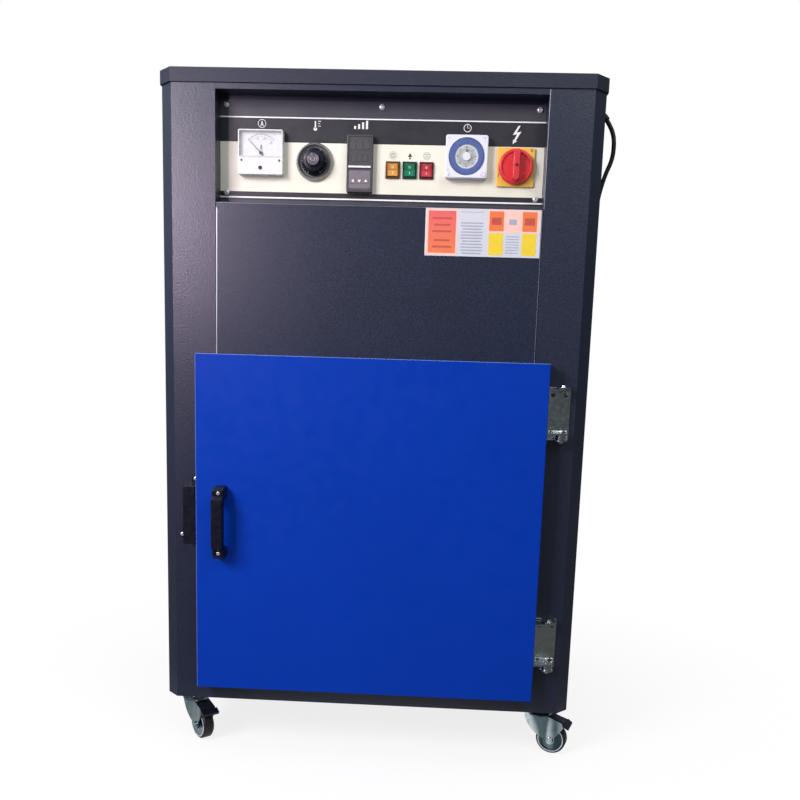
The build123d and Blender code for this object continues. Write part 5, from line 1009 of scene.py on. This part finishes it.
def dress_catch_and_hinges():
    """Screws of the catch and of the hinge plates, the latter dark, a painted shade of their recesses; a pale
    strip along each hinge plate's top edge, a painted highlight; and the folded feet of the hinge plates,
    whose pale metal is partly a painted highlight.
    """
    work = facing(front_mm - plate_wall)
    work.screw(-325.3, 519.4, 3.5, 2.2, 10)
    work.screw(-350.6, 414, 3.7, 2.6, 40)
    work.piece("catch_screws", "pale_metal_and_highlight", smooth=35)
    work = facing(front_mm - plate_wall)
    # The hinge plate screws are painted dark, a painted shade of their recesses.
    for z in hinge_heights:
        for x in (323.0, 345.5):
            for side, height, turn in ((-33.3, 2.3, 15), (33.3, 1.5, 50)):
                work.screw(x, z + side, 3.9, height, turn + x)
    work.piece("hinge_plate_screws", "shaded_screw", smooth=35)
    work = facing(front_mm - plate_wall)
    for z in hinge_heights:
        # Painted highlight: a pale strip along the top edge of each hinge plate.
        work.bar(333, z + 46.9, 35, 1.0, 0, 0.2)
        # The feet are pale metal, brighter than the plate: partly a painted highlight.
        work.prism(rectangle(332.5, z - 38, 37, 17), 0, 0.7, rectangle(332.5, z - 38, 35.4, 15.4))
        for i in range(5):
            x, foot_z = 318 + 7.2 * i, z - 40.5 + 5 * (i % 2)
            crest = rectangle(x + 1.2 - 2.4 * (i % 2), foot_z + 1.5, 2.4, 4.5)
            work.prism(rectangle(x, foot_z, 6.6, 10), 0.6, 1.9, crest)
    work.piece("hinge_feet_and_edge_highlights", "pale_metal_and_highlight", smooth=50)


def dress_casters():
    """Bolts under the caster plates, and a dished disc and a pale rim on both sides of each wheel; the rim's
    pale metal is a painted highlight.
    """
    plate_underside, bolt_reach = 0.0905, 23
    work = Relief((0, 0, plate_underside), up=(0, -1, 0))
    for x in (-caster_x, caster_x):
        for y in (front_caster_y, rear_caster_y):
            for side in (-bolt_reach, bolt_reach):
                for reach in (-bolt_reach, bolt_reach):
                    a, b = x + side, -(y + reach)
                    work.lathe(a, b, [(6.2, 0.0), (6.2, 0.9), (5.0, 0.9)], 24)
                    start = 0.3 * side
                    work.prism(polygon(a, b, 5.6, 6, start), 0.9, 4.2, polygon(a, b, 5.2, 6, start))
    work.piece("caster_bolts", "pale_metal_and_highlight")

    axle_z, trail = 0.029, 26
    disc = [(23.2, 11.4), (21.5, 11.2), (19.5, 10.4), (13, 10.0), (9.3, 11.2)]
    rim = [(25.2, 11.0), (24.9, 11.8), (24.2, 12.1), (23.5, 11.9), (23.1, 11.1)]
    for place, x, y, angle, reach in (
        ("front_left", -caster_x, front_caster_y, -48, trail),
        ("front_right", caster_x, front_caster_y, -20, trail),
        ("rear_left", -caster_x, rear_caster_y, 90, 0),
        ("rear_right", caster_x, rear_caster_y, 90, 0),
    ):
        along = Vector((cos(radians(angle)), sin(radians(angle)), 0))
        centre = Vector((x / 1000, y / 1000, axle_z)) + along * reach / 1000
        for side, way in (("a", 1), ("b", -1)):
            # The rims are a painted highlight in pale metal; the discs take the darker zinc.
            for part, profile, finish in (("disc", disc, "shaded_zinc"), ("rim", rim, "pale_metal_and_highlight")):
                work = Relief(centre, along * way)
                work.lathe(0, 0, profile, 48)
                work.piece(f"{place}_{part}_{side}", finish, f"wheel_{place}", 35)


def dress_back():
    """Screws along the flanges that hold the back panel."""
    work = Relief((0, back_y, 0), (-1, 0, 0))
    for x in (-365, 365):
        for i in range(6):
            work.screw(x, 150 + 201.6 * i, 4.0, 2.0, 20 * i)
    work.piece("back_screws", "pale_metal_and_highlight", smooth=35)


for dress in (
    print_signs, print_rocker_signs, fit_panel, dress_ammeter, dress_thermostat, dress_controller,
    dress_rockers, dress_timer_ring, print_timer_case, dress_main_switch, stick_card, mark_cover_edges,
    dress_door, dress_catch_and_hinges, dress_casters, dress_back,
):
    dress()


def make_floor():
    """A pale floor that fades into the white surround; reflections see it dimmer, and dark further out."""
    half_side = 12.0
    mesh = bpy.data.meshes.new("stage_floor")
    made = bmesh.new()
    bmesh.ops.create_grid(made, x_segments=24, y_segments=24, size=half_side)
    made.to_mesh(mesh)
    made.free()
    floor = placed("stage_floor", mesh)
    finish = Finish("stage_white", (0.95, 0.95, 0.95), 0.8, Specular_IOR_Level=0.0)
    finish.stain(3, 2, 0.3, 0.7, 0.2, (0.92, 0.92, 0.92))
    paths = finish.node("ShaderNodeLightPath").outputs
    finish.paint(paths["Is Diffuse Ray"], (0.25, 0.26, 0.28))
    distance = finish.node("ShaderNodeVectorMath", operation="LENGTH")
    finish.feed(distance.inputs[0], finish.place)
    fade = finish.ramp(distance.outputs["Value"], 0.4, 1.1, 0.82, 1)
    seen = finish.reckon("MAXIMUM", paths["Is Camera Ray"], paths["Is Transmission Ray"])
    glow = finish.node("ShaderNodeEmission").outputs[0]
    near = finish.blended(finish.reckon("MULTIPLY", fade, seen), finish.shader.outputs[0], glow)
    dim = finish.ramp(distance.outputs["Value"], 0.48, 0.7, 0.75, 0.12)
    dull = finish.tune(finish.node("ShaderNodeEmission"), Strength=dim)
    finish.show(finish.blended(paths["Is Glossy Ray"], near, dull.outputs[0]))
    mesh.materials.append(finish.material)


def make_world():
    """White to the camera, soft light for shading, and a room bright high on the left for reflections."""
    scene.world = bpy.data.worlds.new("surround")
    tree = Tree(scene.world, "ShaderNodeOutputWorld")
    place = tree.node("ShaderNodeTexCoord").outputs["Generated"]
    rise = tree.ramp(tree.axis(place, "Z"), -0.1, 0.55, 0.03, 0.62)
    left = tree.ramp(tree.axis(place, "X"), 0.5, -0.8, 0.55, 1.9)
    room = tree.reckon("MULTIPLY", rise, left)
    soft = tree.fed("ShaderNodeBackground", (0.93, 0.95, 1, 1), 0.36)
    white = tree.fed("ShaderNodeBackground", (1, 1, 1, 1), 1.0)
    graded = tree.fed("ShaderNodeBackground", (0.74, 0.86, 1, 1), room)
    paths = tree.node("ShaderNodeLightPath").outputs
    shown = tree.reckon("MAXIMUM", paths["Is Camera Ray"], paths["Is Transmission Ray"])
    tree.show(tree.blended(shown, tree.blended(paths["Is Glossy Ray"], soft, graded), white))


def soft_lamp(name, place, target, size, power, colour=(1, 1, 1)):
    data = bpy.data.lights.new(name, "AREA")
    data.shape = "RECTANGLE"
    data.size, data.size_y = size
    data.energy = power
    data.color = colour
    lamp = placed(name, data)
    lamp.location = place
    lamp.rotation_euler = (Vector(target) - Vector(place)).to_track_quat("-Z", "Y").to_euler()


make_floor()
make_world()
soft_lamp("key_lamp", (-1.65, -2.0, 1.95), (0, -0.3, 0.95), (0.9, 0.9), 58.5, (1, 0.98, 1))
soft_lamp("window_lamp", (-1.0, -2.0, 1.25), (-0.4, -0.3, 1.0), (0.08, 0.52), 12, (1, 0.76, 0.97))
soft_lamp("fill_lamp", (1.5, -2.4, 2.7), (0, 0, 0.9), (1.6, 1.6), 28)
soft_lamp("top_lamp", (0.2, 0.2, 3.2), (0, 0, 0.6), (2.0, 2.0), 40)

scene.view_settings.view_transform = "Standard"
